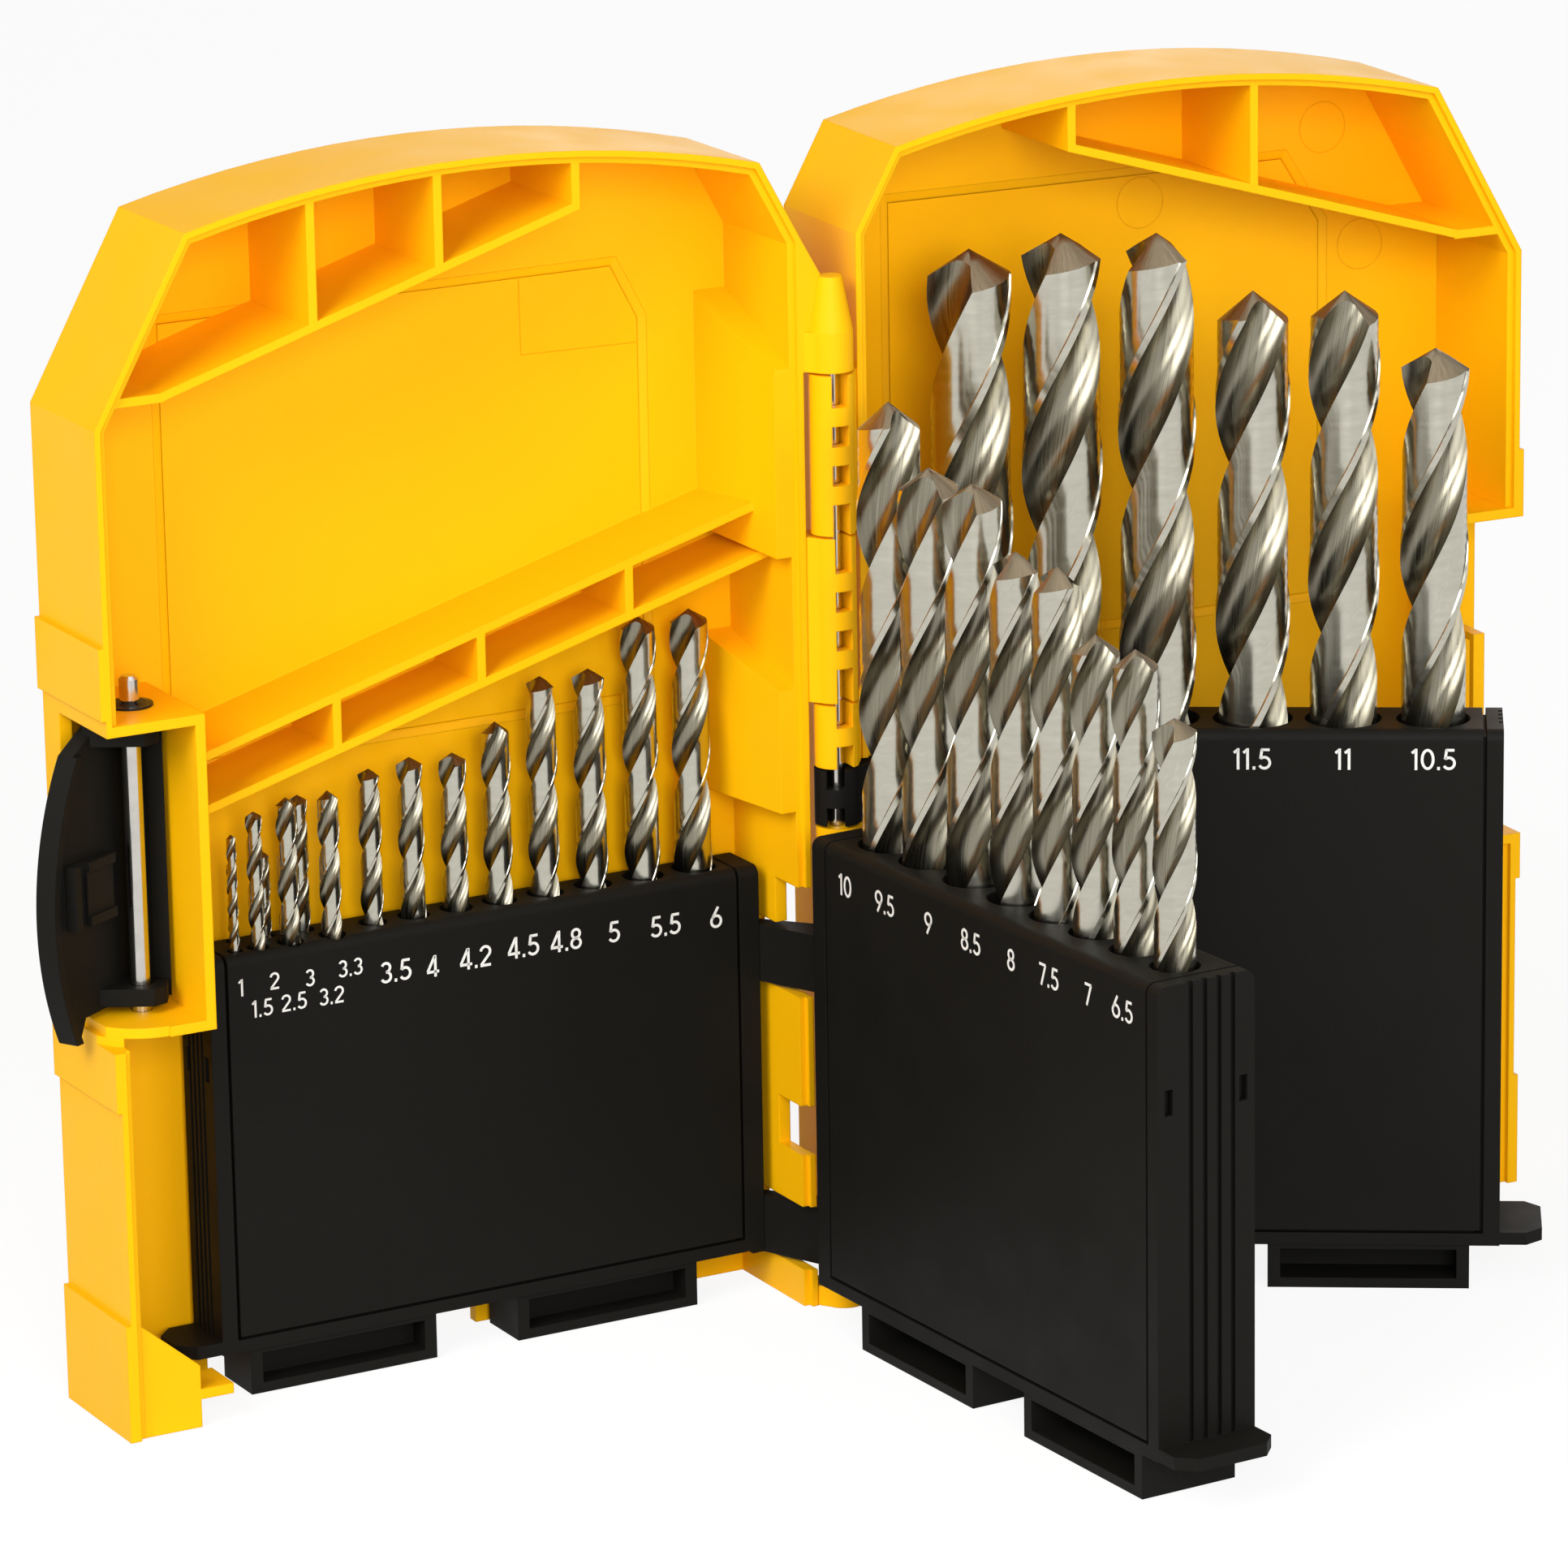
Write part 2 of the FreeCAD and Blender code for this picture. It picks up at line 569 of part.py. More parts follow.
def front_slots(name, z_span, side, bars):
    """Cuts that open the front of a knuckle between its bars, so that the pin shows."""
    low, high = z_span
    middle = (low + high) / 2
    first = middle - d.bar_pitch * ((bars - 1) / 2) - d.bar_height / 2
    edges = [low - d.knuckle_gap / 2]
    for i in range(bars):
        edges += [first + d.bar_pitch * i, first + d.bar_pitch * i + d.bar_height]
    edges.append(high + d.knuckle_gap / 2)
    cuts = []
    for i in range(0, len(edges), 2):
        y_span = depths(-side, 0, d.barrel_diameter)
        cuts.append(box(f"{name}_slot{i // 2}", (-d.slot_width / 2, d.slot_width / 2), y_span,
                        (edges[i], edges[i + 1])))
    return cuts


def shell(prefix, side, depth):
    outer, outer_arc = shell_outline(None, None)
    envelope = prism(f"{prefix}_envelope", "XZ", outer, depths(side, d.rim_gap, depth), outer_arc)
    inner, inner_arc = shell_outline(d.wall, -d.overrun)
    cavity = prism(f"{prefix}_cavity", "XZ", inner, depths(side, 0, depth - d.wall), inner_arc)
    lip, lip_arc = shell_outline(d.lip_width, -d.overrun)
    rebate = prism(f"{prefix}_rebate", "XZ", lip, depths(side, 0, d.rim_gap + d.lip_height),
                   lip_arc)
    rim = d.rim_gap + d.lip_height
    floor = depth - d.wall
    shelled = cut(f"{prefix}_walls", envelope, [cavity, rebate])

    # Roof rib with its dividers
    roof = sloped_rib(f"{prefix}_roof", (d.roof_end_x, d.roof_knee_x), d.roof_low_z, d.roof_end_z,
                      d.rib, depths(side, rim, floor + d.wall / 2))
    knee = box(f"{prefix}_knee", (d.roof_knee_x - d.rib / 2, d.latch_side_x - d.wall / 2),
               depths(side, rim, floor + d.wall / 2), (d.roof_low_z, d.roof_low_z + d.rib))
    ribs = [roof, knee]
    shares = roof_divider_shares if side < 0 else right_roof_divider_shares
    for i, share in enumerate(shares):
        x = d.roof_end_x + (d.roof_knee_x - d.roof_end_x) * share
        z = d.roof_end_z - (d.roof_end_z - d.roof_low_z) * share
        ribs.append(box(f"{prefix}_roof_divider{i}", (x, x + d.rib),
                        depths(side, rim, floor + d.wall / 2), (z, d.arch_z + d.overrun)))
    roofs = common(f"{prefix}_roof_ribs", joined(f"{prefix}_roof_parts", ribs), envelope)

    bands = []
    for i, (low, high) in enumerate(((as_size(0), d.band_low_top),
                                     (d.band_mid_low, d.pocket_low_z - d.pocket_wall),
                                     (d.mouth_high_z, d.band_high_top))):
        bands.append(box(f"{prefix}_band{i}",
                         (d.latch_side_x - d.wall / 2, d.latch_side_x + d.band_rise),
                         depths(side, d.rim_gap, depth), (low, high)))
    return envelope, shelled, [roofs] + bands, floor, rim


def arm_notches(prefix, side, spans, deep):
    """Openings in the spine wall, open to the rim, for a holder's arms."""
    return [box(f"{prefix}_notch{i}", (d.spine_x - d.overrun, d.spine_x + d.wall + d.overrun),
                depths(side, 0, deep), (low - d.arm_room, high + d.arm_room))
            for i, (low, high) in enumerate(spans)]


def arm_spans(first, second, tall):
    return [(first, first + tall), (second, second + tall)]


left_arms = arm_spans(d.left_arm_low_z, d.left_arm_high_z, d.left_arm_tall)
middle_arms = arm_spans(d.middle_arm_low_z, d.middle_arm_high_z, d.middle_arm_tall)
right_arms = arm_spans(d.right_arm_low_z, d.right_arm_high_z, d.right_arm_tall)
pin_bore = d.pin_diameter / 2 + d.pin_clearance


def field(prefix, side, floor, x_span, z_span, corner, cut_at_spine):
    """The shallow recessed field in the back panel, with one corner cut off."""
    (x0, x1), (z0, z1), (cx, cz) = x_span, z_span, corner
    if cut_at_spine:
        points = [(x0, z0), (x1, z0), (x1, z1), (x0 + cx, z1), (x0, z1 - cz)]
    else:
        points = [(x0, z0), (x1, z0), (x1, z1 - cz), (x1 - cx, z1), (x0, z1)]
    return prism(f"{prefix}_field", "XZ", points,
                 depths(side, floor - d.overrun, floor + d.sunk))


def tip_relief():
    """Room at the outer corner of the pocket floor for the low tip of the latch."""
    corner = box("left_tip_corner", (d.latch_pin_x, d.latch_side_x + d.wall),
                 (d.latch_pin_y, as_size(0)),
                 (d.latch_tip_z - d.latch_room, d.pocket_low_z + d.overrun))
    keep = rod("left_tip_keep", d.latch_pin_x, d.latch_pin_y,
               (d.latch_tip_z - d.overrun, d.pocket_low_z + d.overrun * 2),
               root(product(d.latch_foot_reach, d.latch_foot_reach)
                    + product(d.latch_offset, d.latch_offset)) - d.latch_room)
    return cut("left_tip_relief", corner, [keep])


def left_shell():
    side = -1
    envelope, walls, added, floor, rim = shell("left", side, d.left_depth)
    sunk = field("left", side, floor, (d.field_spine_x, d.field_latch_x),
                 (d.field_low_z, d.field_top_z), (d.field_cut_x, d.field_cut_z), True)
    walls = cut("left_sunk_walls", walls, [sunk])
    pocket_inner = d.pocket_x - d.pocket_wall

    # Stop ribs across the bits, with dividers between them
    run = pocket_inner - d.spine_x
    rise = run * d.rib_slope
    span = depths(side, d.stop_front, floor + d.wall / 2)
    stops = [sloped_rib(f"left_stop{i}", (d.spine_x, pocket_inner + d.pocket_wall / 2),
                        d.stop_low_z + d.stop_step * i, d.stop_low_z + d.stop_step * i + rise,
                        d.rib, span) for i in (0, 1)]
    for i, share in enumerate(stop_divider_shares):
        x = d.spine_x + run * share
        z = d.stop_low_z + rise * (1 - share)
        stops.append(box(f"left_stop_divider{i}", (x, x + d.rib), span,
                         (z + d.rib / 2, z + d.stop_step + d.rib / 2)))
    added.append(common("left_stop_ribs", joined("left_stop_parts", stops), envelope))

    # Bosses on the spine wall, thickest at the back panel, with sloping ends
    inner = d.spine_x + d.wall / 2
    face = d.spine_x + d.wall
    back = -floor - d.wall / 2
    for i, (low, low_rim, high, high_rim) in enumerate((
            (d.boss_low_z, d.boss_low_z, d.boss_low_top_z, d.boss_low_rim_z),
            (d.boss_mid_z, d.boss_mid_rim_z, d.boss_top_z, d.boss_top_rim_z))):
        wedge = [(inner, back), (face + d.boss_back, back), (face + d.boss_back, -floor),
                 (face + d.boss_rim, -rim), (inner, -rim)]
        ends = [(back, low), (-rim, low_rim), (-rim, high_rim), (back, high)]
        added.append(common(f"left_boss{i}",
                            prism(f"left_boss{i}_wedge", "XY", wedge, (low_rim, high)),
                            prism(f"left_boss{i}_ends", "YZ", ends, (inner, face + d.boss_back))))

    # Latch pocket: two shelves and the wall between them
    outer_x = d.latch_side_x - d.wall / 2
    shelf_span = depths(side, d.rim_gap, floor + d.wall / 2)
    added.append(box("left_pocket_floor", (pocket_inner, outer_x), shelf_span,
                     (d.pocket_low_z - d.pocket_wall, d.pocket_low_z)))
    added.append(box("left_pocket_roof", (pocket_inner, outer_x), shelf_span,
                     (d.pocket_high_z - d.pocket_wall, d.pocket_high_z)))
    added.append(box("left_pocket_wall", (pocket_inner, d.pocket_x), shelf_span,
                     (d.pocket_low_z - d.pocket_wall, d.pocket_high_z)))

    # Bracket at the foot of the latch side wall
    near, far = d.overrun + d.rim_gap, d.overrun + d.rim_gap + d.pocket_wall
    points = [(outer_x, as_size(0)), (outer_x, d.bracket_wall_z), (d.bracket_x, d.bracket_end_z),
              (d.bracket_x, as_size(0))]
    added.append(prism("left_bracket_plate", "XZ", points, depths(side, near, far)))
    added.append(box("left_bracket_shelf", (d.bracket_shelf_x, outer_x),
                     depths(side, near, -d.middle_front_y - d.rib / 2),
                     (d.bracket_shelf_z - d.pocket_wall, d.bracket_shelf_z)))

    # Hinge knuckles and the gusset over the top one
    spans = {"ring": (d.foot_ring_low_z, d.foot_ring_z),
             "third": (d.knuckle_c_z, d.knuckle_b_z - d.knuckle_gap),
             "top": (d.knuckle_a_z, d.knuckle_top_z)}
    for name, z_span in spans.items():
        added += knuckle(f"left_{name}", z_span, side)
    points = [(d.spine_x + d.wall / 2, d.knuckle_a_z), (d.spine_x + d.wall / 2, d.spine_corner_z),
              (d.spine_x, d.spine_corner_z), (-d.barrel_diameter / 2, d.knuckle_top_z),
              (-d.barrel_diameter / 2, d.knuckle_a_z)]
    added.append(prism("left_gusset", "XZ", points,
                       depths(side, d.rim_gap, d.barrel_diameter / 2)))
    added.append(cap("left_cap", 0, 0, d.knuckle_top_z, d.barrel_diameter / 2, d.cap_tip,
                     d.cap_rise))

    tools = [
        box("left_panel_notch", (d.panel_notch_low_x, d.panel_notch_high_x),
            depths(side, floor - d.overrun, d.left_depth + d.overrun),
            (-d.overrun, d.panel_notch_z)),
        box("left_side_cut", (d.latch_side_x - d.wall - d.overrun, d.latch_side_x + d.wall),
            depths(side, 0, d.pocket_back), (d.pocket_low_z, d.pocket_high_z - d.pocket_wall)),
        tip_relief(),
        rod("left_latch_bore", d.latch_pin_x, d.latch_pin_y,
            (d.pocket_high_z - d.pocket_wall - d.overrun, d.pocket_high_z + d.overrun),
            d.latch_pin_diameter / 2 + d.seat_play),
        rod("left_latch_seat", d.latch_pin_x, d.latch_pin_y,
            (d.pocket_low_z - d.pocket_wall / 2, d.pocket_low_z + d.overrun),
            d.latch_pin_diameter / 2 + d.seat_play),
        rod("left_pin_bore", 0, 0, (d.pin_low_z - d.seat_play, d.pin_high_z + d.overrun), pin_bore),
    ]
    tools += arm_notches("left_outer", side, left_arms, d.arm_notch)
    tools += arm_notches("left_middle", side, middle_arms, d.middle_notch)
    tools += front_slots("left_third", spans["third"], side, 3)
    whole = joined("left_whole", [walls] + added)
    return node("left_shell", cut("left_shell_cut", whole, tools), d.left_shell_angle)


def right_shell():
    side = 1
    envelope, walls, added, floor, rim = shell("right", side, d.right_depth)
    sunk = field("right", side, floor, (d.field_spine_x, d.right_field_x),
                 (d.field_low_z, d.right_field_z), (d.right_field_cut_x, d.right_field_cut_z), False)
    walls = cut("right_sunk_walls", walls, [sunk])
    outer_x = d.latch_side_x - d.wall / 2

    # Catch wall and the shelves over and under the latch opening
    catch_outer = d.catch_x + d.catch_thick
    back = d.mouth_back + d.pocket_wall
    added.append(box("right_catch_wall", (d.catch_x, catch_outer), depths(side, d.rim_gap, back),
                     (d.mouth_low_z - d.pocket_wall, d.catch_high_z)))
    added.append(box("right_catch_floor", (d.catch_x, outer_x), depths(side, d.rim_gap, back),
                     (d.mouth_low_z - d.pocket_wall, d.mouth_low_z)))
    added.append(box("right_catch_back", (d.catch_x, outer_x), depths(side, d.mouth_back, back),
                     (d.mouth_low_z - d.pocket_wall, d.mouth_high_z + d.pocket_wall)))
    added.append(box("right_catch_roof", (d.mouth_shelf_x, outer_x), depths(side, d.rim_gap, back),
                     (d.mouth_high_z, d.mouth_high_z + d.pocket_wall)))

    # Hinge knuckles and the ledge over the holder's upper arm
    spans = {"second": (d.knuckle_b_z, d.knuckle_a_z - d.knuckle_gap),
             "fourth": (d.knuckle_d_z, d.knuckle_c_z - d.knuckle_gap),
             "ledge": (d.ledge_low_z, d.right_arm_high_z - d.knuckle_gap),
             "foot": (d.foot_knuckle_low_z, d.foot_knuckle_high_z)}
    for name, z_span in spans.items():
        added += knuckle(f"right_{name}", z_span, side)

    tools = [
        box("right_panel_notch", (d.panel_notch_low_x, d.panel_notch_high_x),
            depths(side, floor - d.overrun, d.right_depth + d.overrun),
            (-d.overrun, d.panel_notch_z)),
        box("right_side_cut", (catch_outer, d.latch_side_x + d.wall),
            depths(side, 0, d.mouth_back), (d.mouth_low_z, d.mouth_high_z)),
        box("right_catch_window", (d.catch_x - d.overrun, catch_outer + d.overrun),
            depths(side, d.rim_gap + d.catch_bar, d.catch_window_deep),
            (d.catch_window_low_z, d.catch_window_high_z)),
        box("right_catch_vent", (d.catch_x - d.overrun, catch_outer + d.overrun),
            depths(side, d.rim_gap + d.catch_bar, d.catch_window_deep),
            (d.catch_vent_low_z, d.catch_vent_high_z)),
        rod("right_pin_bore", 0, 0, (-d.overrun, d.pin_high_z + d.overrun), pin_bore),
    ]
    tools += arm_notches("right_outer", side, right_arms, d.arm_notch)
    tools += arm_notches("right_middle", side, middle_arms, d.middle_notch)
    tools += front_slots("right_second", spans["second"], side, 3)
    tools += front_slots("right_fourth", spans["fourth"], side, 1)
    whole = joined("right_whole", [walls] + added)
    return node("right_shell", cut("right_shell_cut", whole, tools), d.right_shell_angle)


def hinge_pin():
    pin = rod("pin_rod", 0, 0, (d.pin_low_z, d.pin_high_z), d.pin_diameter / 2)
    bevel = doc.addObject("Part::Chamfer", "pin_bevel")
    bevel.Base = pin
    doc.recompute()
    bevel.Edges = [(i + 1, d.pin_bevel.value, d.pin_bevel.value)
                   for i, edge in enumerate(pin.Shape.Edges) if edge.Closed and is_round(edge)]
    return node("hinge_pin", bevel, d.right_shell_angle)


def is_round(edge):
    return edge.Curve.TypeId == "Part::GeomCircle"


# The latch
def latch():
    face = d.latch_pin_x + d.latch_offset
    top, low = d.latch_high_z, d.latch_low_z
    y0 = d.latch_pin_y
    outline = [
        (y0 - d.latch_tail, low), (y0 + d.latch_foot_reach, d.latch_foot_z),
        (y0 + d.latch_tip_reach - d.latch_rim, d.latch_tip_z),
        (y0 + d.latch_tip_reach, d.latch_tip_z), (y0 + d.latch_crown_reach, d.latch_crown_z),
        (y0 + d.latch_arm_wide / 2, top), (y0 - d.latch_tail, top),
    ]
    reach = (y0 + d.latch_reach, d.latch_reach_z)
    plate = prism("latch_plate_solid", "YZ", outline, (face, face + d.latch_plate), {3: reach})
    thick = d.latch_rim
    rim_points = [
        (y0 + d.latch_tip_reach - thick, d.latch_tip_z), (y0 + d.latch_tip_reach, d.latch_tip_z),
        (y0 + d.latch_crown_reach, d.latch_crown_z),
        (y0 + d.latch_crown_reach - thick, d.latch_crown_z),
    ]
    rim = prism("latch_rim_solid", "YZ", rim_points,
                (face - d.latch_rim_rise, face + d.latch_plate / 2),
                {1: reach, 3: (reach[0] - thick, reach[1])})
    solids = [plate, rim]
    x0 = d.latch_pin_x
    inside = face + d.latch_plate / 2
    back = d.latch_arm_back
    arm_points = [
        (inside, y0 - d.latch_tail), (inside, y0 + d.latch_arm_wide),
        (face, y0 + d.latch_arm_wide), (x0 - back * arm_corner_shares[0],
                                        y0 + back * arm_corner_shares[1]),
        (x0 - back, y0 - back * arm_corner_shares[2]),
        (x0 - back * arm_corner_shares[3], y0 - back * arm_corner_shares[4]),
        (x0 + back * arm_corner_shares[5], y0 - d.latch_tail),
    ]
    for name, span in (("top", (top - d.latch_arm, top)), ("low", (low, low + d.latch_low_arm))):
        solids.append(prism(f"latch_{name}_arm", "XY", arm_points, span))
    web, room = d.latch_web_back, d.latch_web_room
    web_points = [
        (inside, y0 - d.latch_tail), (inside, y0 - room), (x0, y0 - room),
        (x0 - web * web_corner_shares[0], y0 - web * web_corner_shares[1]),
        (x0 - web * web_corner_shares[2], y0 - web * web_corner_shares[3]),
        (x0 + web * web_corner_shares[4], y0 - d.latch_tail),
    ]
    solids.append(prism("latch_web", "XY", web_points, (low, top)))
    bar_back = d.rim_gap + d.catch_bar + d.hook_room
    solids.append(box("latch_pad", (face - d.pad_rise, inside),
                      (y0 + d.hook_start, bar_back + d.hook_width),
                      (d.hook_low_z, d.hook_high_z)))
    inner = (face - d.hook_rise, inside)
    solids.append(box("latch_hook", inner, (bar_back, bar_back + d.hook_width),
                      (d.hook_low_z, d.hook_high_z)))
    for name, low_z in (("low", d.hook_low_z), ("high", d.hook_high_z - d.ledge)):
        solids.append(box(f"latch_{name}_ledge", inner, (y0 + d.hook_start, -d.hook_room),
                          (low_z, low_z + d.ledge)))
    solids.append(box("latch_block", (face - d.hook_rise * block_rise_share, inside),
                      (y0 + d.hook_start, -d.hook_room),
                      (d.hook_low_z + d.ledge, d.hook_high_z - d.ledge)))
    bore = rod("latch_bore", d.latch_pin_x, y0, (low - d.overrun, top + d.overrun),
               d.latch_pin_diameter / 2 + d.pin_clearance)
    turned = cut("latch_cut", joined("latch_whole", solids), [bore])
    return turned


def latch_assembly():
    folded = latch()
    folded.Label = "latch"
    swing = FreeCAD.Placement(ORIGIN, FreeCAD.Rotation(UP, -d.latch_open_angle.value),
                              FreeCAD.Vector(d.latch_pin_x.value, d.latch_pin_y.value, 0))
    turn = FreeCAD.Placement(ORIGIN, FreeCAD.Rotation(UP, d.left_shell_angle.value))
    folded.Placement = turn.multiply(swing)
    nodes.append(folded)

    pin_span = (d.pocket_low_z - d.pocket_wall / 2, d.latch_pin_high_z)
    pin = rod("latch_pin_rod", d.latch_pin_x, d.latch_pin_y, pin_span, d.latch_pin_diameter / 2)
    bevel = doc.addObject("Part::Chamfer", "latch_pin_bevel")
    bevel.Base = pin
    doc.recompute()
    top = max(range(len(pin.Shape.Edges)), key=lambda i: pin.Shape.Edges[i].BoundBox.ZMin)
    bevel.Edges = [(top + 1, d.latch_pin_head.value, d.latch_pin_head.value)]
    node("latch_pin", bevel, d.left_shell_angle)

    base_z = d.pocket_high_z
    disc = rod("nut_disc", d.latch_pin_x, d.latch_pin_y, (base_z, base_z + d.nut_thick),
               d.nut_diameter / 2)
    crown = rod("nut_crown_disc", d.latch_pin_x, d.latch_pin_y, (base_z, base_z + d.nut_rise),
                d.nut_crown / 2)
    bore = rod("nut_bore", d.latch_pin_x, d.latch_pin_y,
               (base_z - d.overrun, base_z + d.nut_rise + d.overrun), d.latch_pin_diameter / 2)
    node("latch_push_nut", cut("nut_cut", joined("nut_whole", [disc, crown]), [bore]),
         d.left_shell_angle)


# The three bit holders
def rounded_profile(low, high, foot, top, radius):
    """A holder's section across its thickness, with both long top edges rounded."""
    bulge = radius * (1 - math.sqrt(0.5))
    points = [(low, foot), (high, foot), (high, top - radius), (high - radius, top),
              (low + radius, top), (low, top - radius)]
    arcs = {2: (high - bulge, top - bulge), 4: (low + bulge, top - bulge)}
    return points, arcs


def holder_arm(name, y_span, z_span):
    """An arm from the holder's spine end to its barrel on the hinge pin."""
    barrel = rod(f"{name}_barrel", 0, 0, z_span, d.barrel_diameter / 2)
    low, high = y_span
    middle = (low + high) / 2
    lean = math.atan2(middle.value, d.holder_x.value)
    side_x, side_y = -math.sin(lean), math.cos(lean)
    reach = d.barrel_diameter / 2 * arm_touch_share
    root_x = d.holder_x + d.arm_root
    points = [(-reach * (side_x), -(reach * side_y)), (d.holder_x, low), (root_x, low),
              (root_x, high), (d.holder_x, high), (reach * side_x, reach * side_y)]
    return [barrel, prism(f"{name}_link", "XY", points, z_span)]


def holder(prefix, front, back, top, arms, arm_wide, arm_inset, bits, row_sign, angle):
    low, high = (back, front) if front.value > back.value else (front, back)
    out = 1 if front.value > back.value else -1

    # Frame: two end walls on a bottom rail, with feet, a tongue and arms on the hinge pin.
    # A step behind each end wall closes the groove between it and the cover.
    points, arcs = rounded_profile(low, high, d.rail_low_z, top, d.edge_round)
    solids = [
        prism(f"{prefix}_spine_wall", "YZ", points, (d.holder_x, d.spine_wall_end_x), arcs),
        prism(f"{prefix}_end_wall", "YZ", points, (d.end_wall_x, d.holder_end_x), arcs),
        box(f"{prefix}_rail", (d.holder_x, d.holder_end_x), (low, high),
            (d.rail_low_z, d.rail_top_z)),
    ]
    for name, x_span in (("spine", (d.spine_wall_end_x, d.cover_x)),
                         ("latch", (d.cover_end_x, d.end_wall_x))):
        solids.append(box(f"{prefix}_{name}_step", x_span,
                          (low + d.groove_depth, high - d.groove_depth),
                          (d.rail_top_z, top - d.groove_depth)))
    middle = (low + high) / 2
    tools = []
    for i, foot_x in enumerate((d.foot_one_x, d.foot_two_x)):
        solids.append(box(f"{prefix}_foot{i}", (foot_x, foot_x + d.foot_length),
                          (low + d.foot_inset, high - d.foot_inset),
                          (0, d.rail_low_z + d.overrun)))
        for half, span in (("a", (low - d.overrun, middle - d.foot_web / 2)),
                           ("b", (middle + d.foot_web / 2, high + d.overrun))):
            tools.append(box(f"{prefix}_foot{i}_window_{half}",
                             (foot_x + d.foot_wall, foot_x + d.foot_length - d.foot_wall), span,
                             (d.foot_floor, d.rail_low_z - d.foot_floor / 2)))
    tongue_low = d.tongue_top_z - d.tongue_thick
    tongue = [(d.end_wall_x, low), (d.tongue_x - d.tongue_cut, low),
              (d.tongue_x, low + d.tongue_cut), (d.tongue_x, high - d.tongue_cut),
              (d.tongue_x - d.tongue_cut, high), (d.end_wall_x, high)]
    solids.append(prism(f"{prefix}_tongue", "XY", tongue, (tongue_low, d.tongue_top_z)))
    if out > 0:
        arm_span = (front - arm_inset - arm_wide, front - arm_inset)
    else:
        arm_span = (front + arm_inset, front + arm_inset + arm_wide)
    for i, z_span in enumerate(arms):
        solids += holder_arm(f"{prefix}_arm{i}", arm_span, z_span)
    for i, share in enumerate(flute_shares):
        y = front + (back - front) * share
        tools.append(box(f"{prefix}_flute{i}",
                         (d.holder_end_x - d.flute_deep, d.holder_end_x + d.overrun),
                         (y - d.flute_width / 2, y + d.flute_width / 2),
                         (d.tongue_top_z, top + d.overrun)))
    snap_z = (top - d.snap_drop - d.snap_height, top - d.snap_drop)
    for name, span in (("low", (low + d.snap_inset, low + d.snap_inset + d.snap_width)),
                       ("high", (high - d.snap_inset - d.snap_width, high - d.snap_inset))):
        tools.append(box(f"{prefix}_snap_{name}",
                         (d.holder_end_x - d.flute_deep * 2, d.holder_end_x + d.overrun), span,
                         snap_z))
    tools.append(rod(f"{prefix}_pin_bore", 0, 0, (-d.overrun, top + d.overrun), pin_bore))
    if prefix == "right":
        tools += front_slots("right_arm", arms[1], 1, 1)
    node(f"{prefix}_holder_frame", cut(f"{prefix}_frame_cut", joined(f"{prefix}_frame", solids),
                                       tools), angle)

    # Cover: a hood with a hole for each bit
    points, arcs = rounded_profile(low, high, d.rail_top_z + d.groove, top, d.edge_round)
    hood = prism(f"{prefix}_hood", "YZ", points, (d.cover_x, d.cover_end_x), arcs)
    wall = d.hood_wall
    room = box(f"{prefix}_hood_room", (d.cover_x + wall, d.cover_end_x - wall),
               (low + wall, high - wall), (d.rail_low_z, top - d.hood_top))
    holes = [room]
    block = box(f"{prefix}_block",
                (d.cover_x + wall + d.seat_play, d.cover_end_x - wall - d.seat_play),
                (low + wall + d.seat_play, high - wall - d.seat_play),
                (d.rail_top_z, top - d.hood_top - d.seat_play))
    bores = []
    spots = []
    for bit_name, _, _, _, _, row, _ in bits:
        radius = getattr(d, f"bit_{bit_name}_diameter") / 2
        x = getattr(d, f"bit_{bit_name}_x")
        floor = getattr(d, f"bit_{bit_name}_floor")
        y = middle + d.row_gap * (row * row_sign)
        holes.append(rod(f"{prefix}_hole_{bit_name}", x, y, (top - d.hood_top - d.overrun,
                                                            top + d.overrun),
                         radius + d.mouth_play))
        bores.append(rod(f"{prefix}_bore_{bit_name}", x, y, (floor, top), radius + d.bore_play))
        spots.append((bit_name, x, y, floor))
    node(f"{prefix}_holder_cover", cut(f"{prefix}_cover_cut", hood, holes), angle)
    node(f"{prefix}_holder_socket", cut(f"{prefix}_socket_cut", block, bores), angle)
    for spot in spots:
        drill_bit(*spot, angle)


# The bits
def flute_section(radius):
    """Two lands joined by two flutes, in a plane across the bit."""
    half = math.radians(flute_side_degrees)
    sides = []

    def at(reach, turn):
        return FreeCAD.Vector(reach * math.cos(turn), reach * math.sin(turn), 0)

    for start in (0, math.pi):
        land_end = at(radius, start + half)
        sides.append(Part.Arc(at(radius, start - half), at(radius, start), land_end))
        sides.append(Part.Arc(land_end, at(radius * flute_floor_share, start + math.pi / 2),
                              at(radius, start + math.pi - half)))
    return Part.Wire([side.toShape() for side in sides])


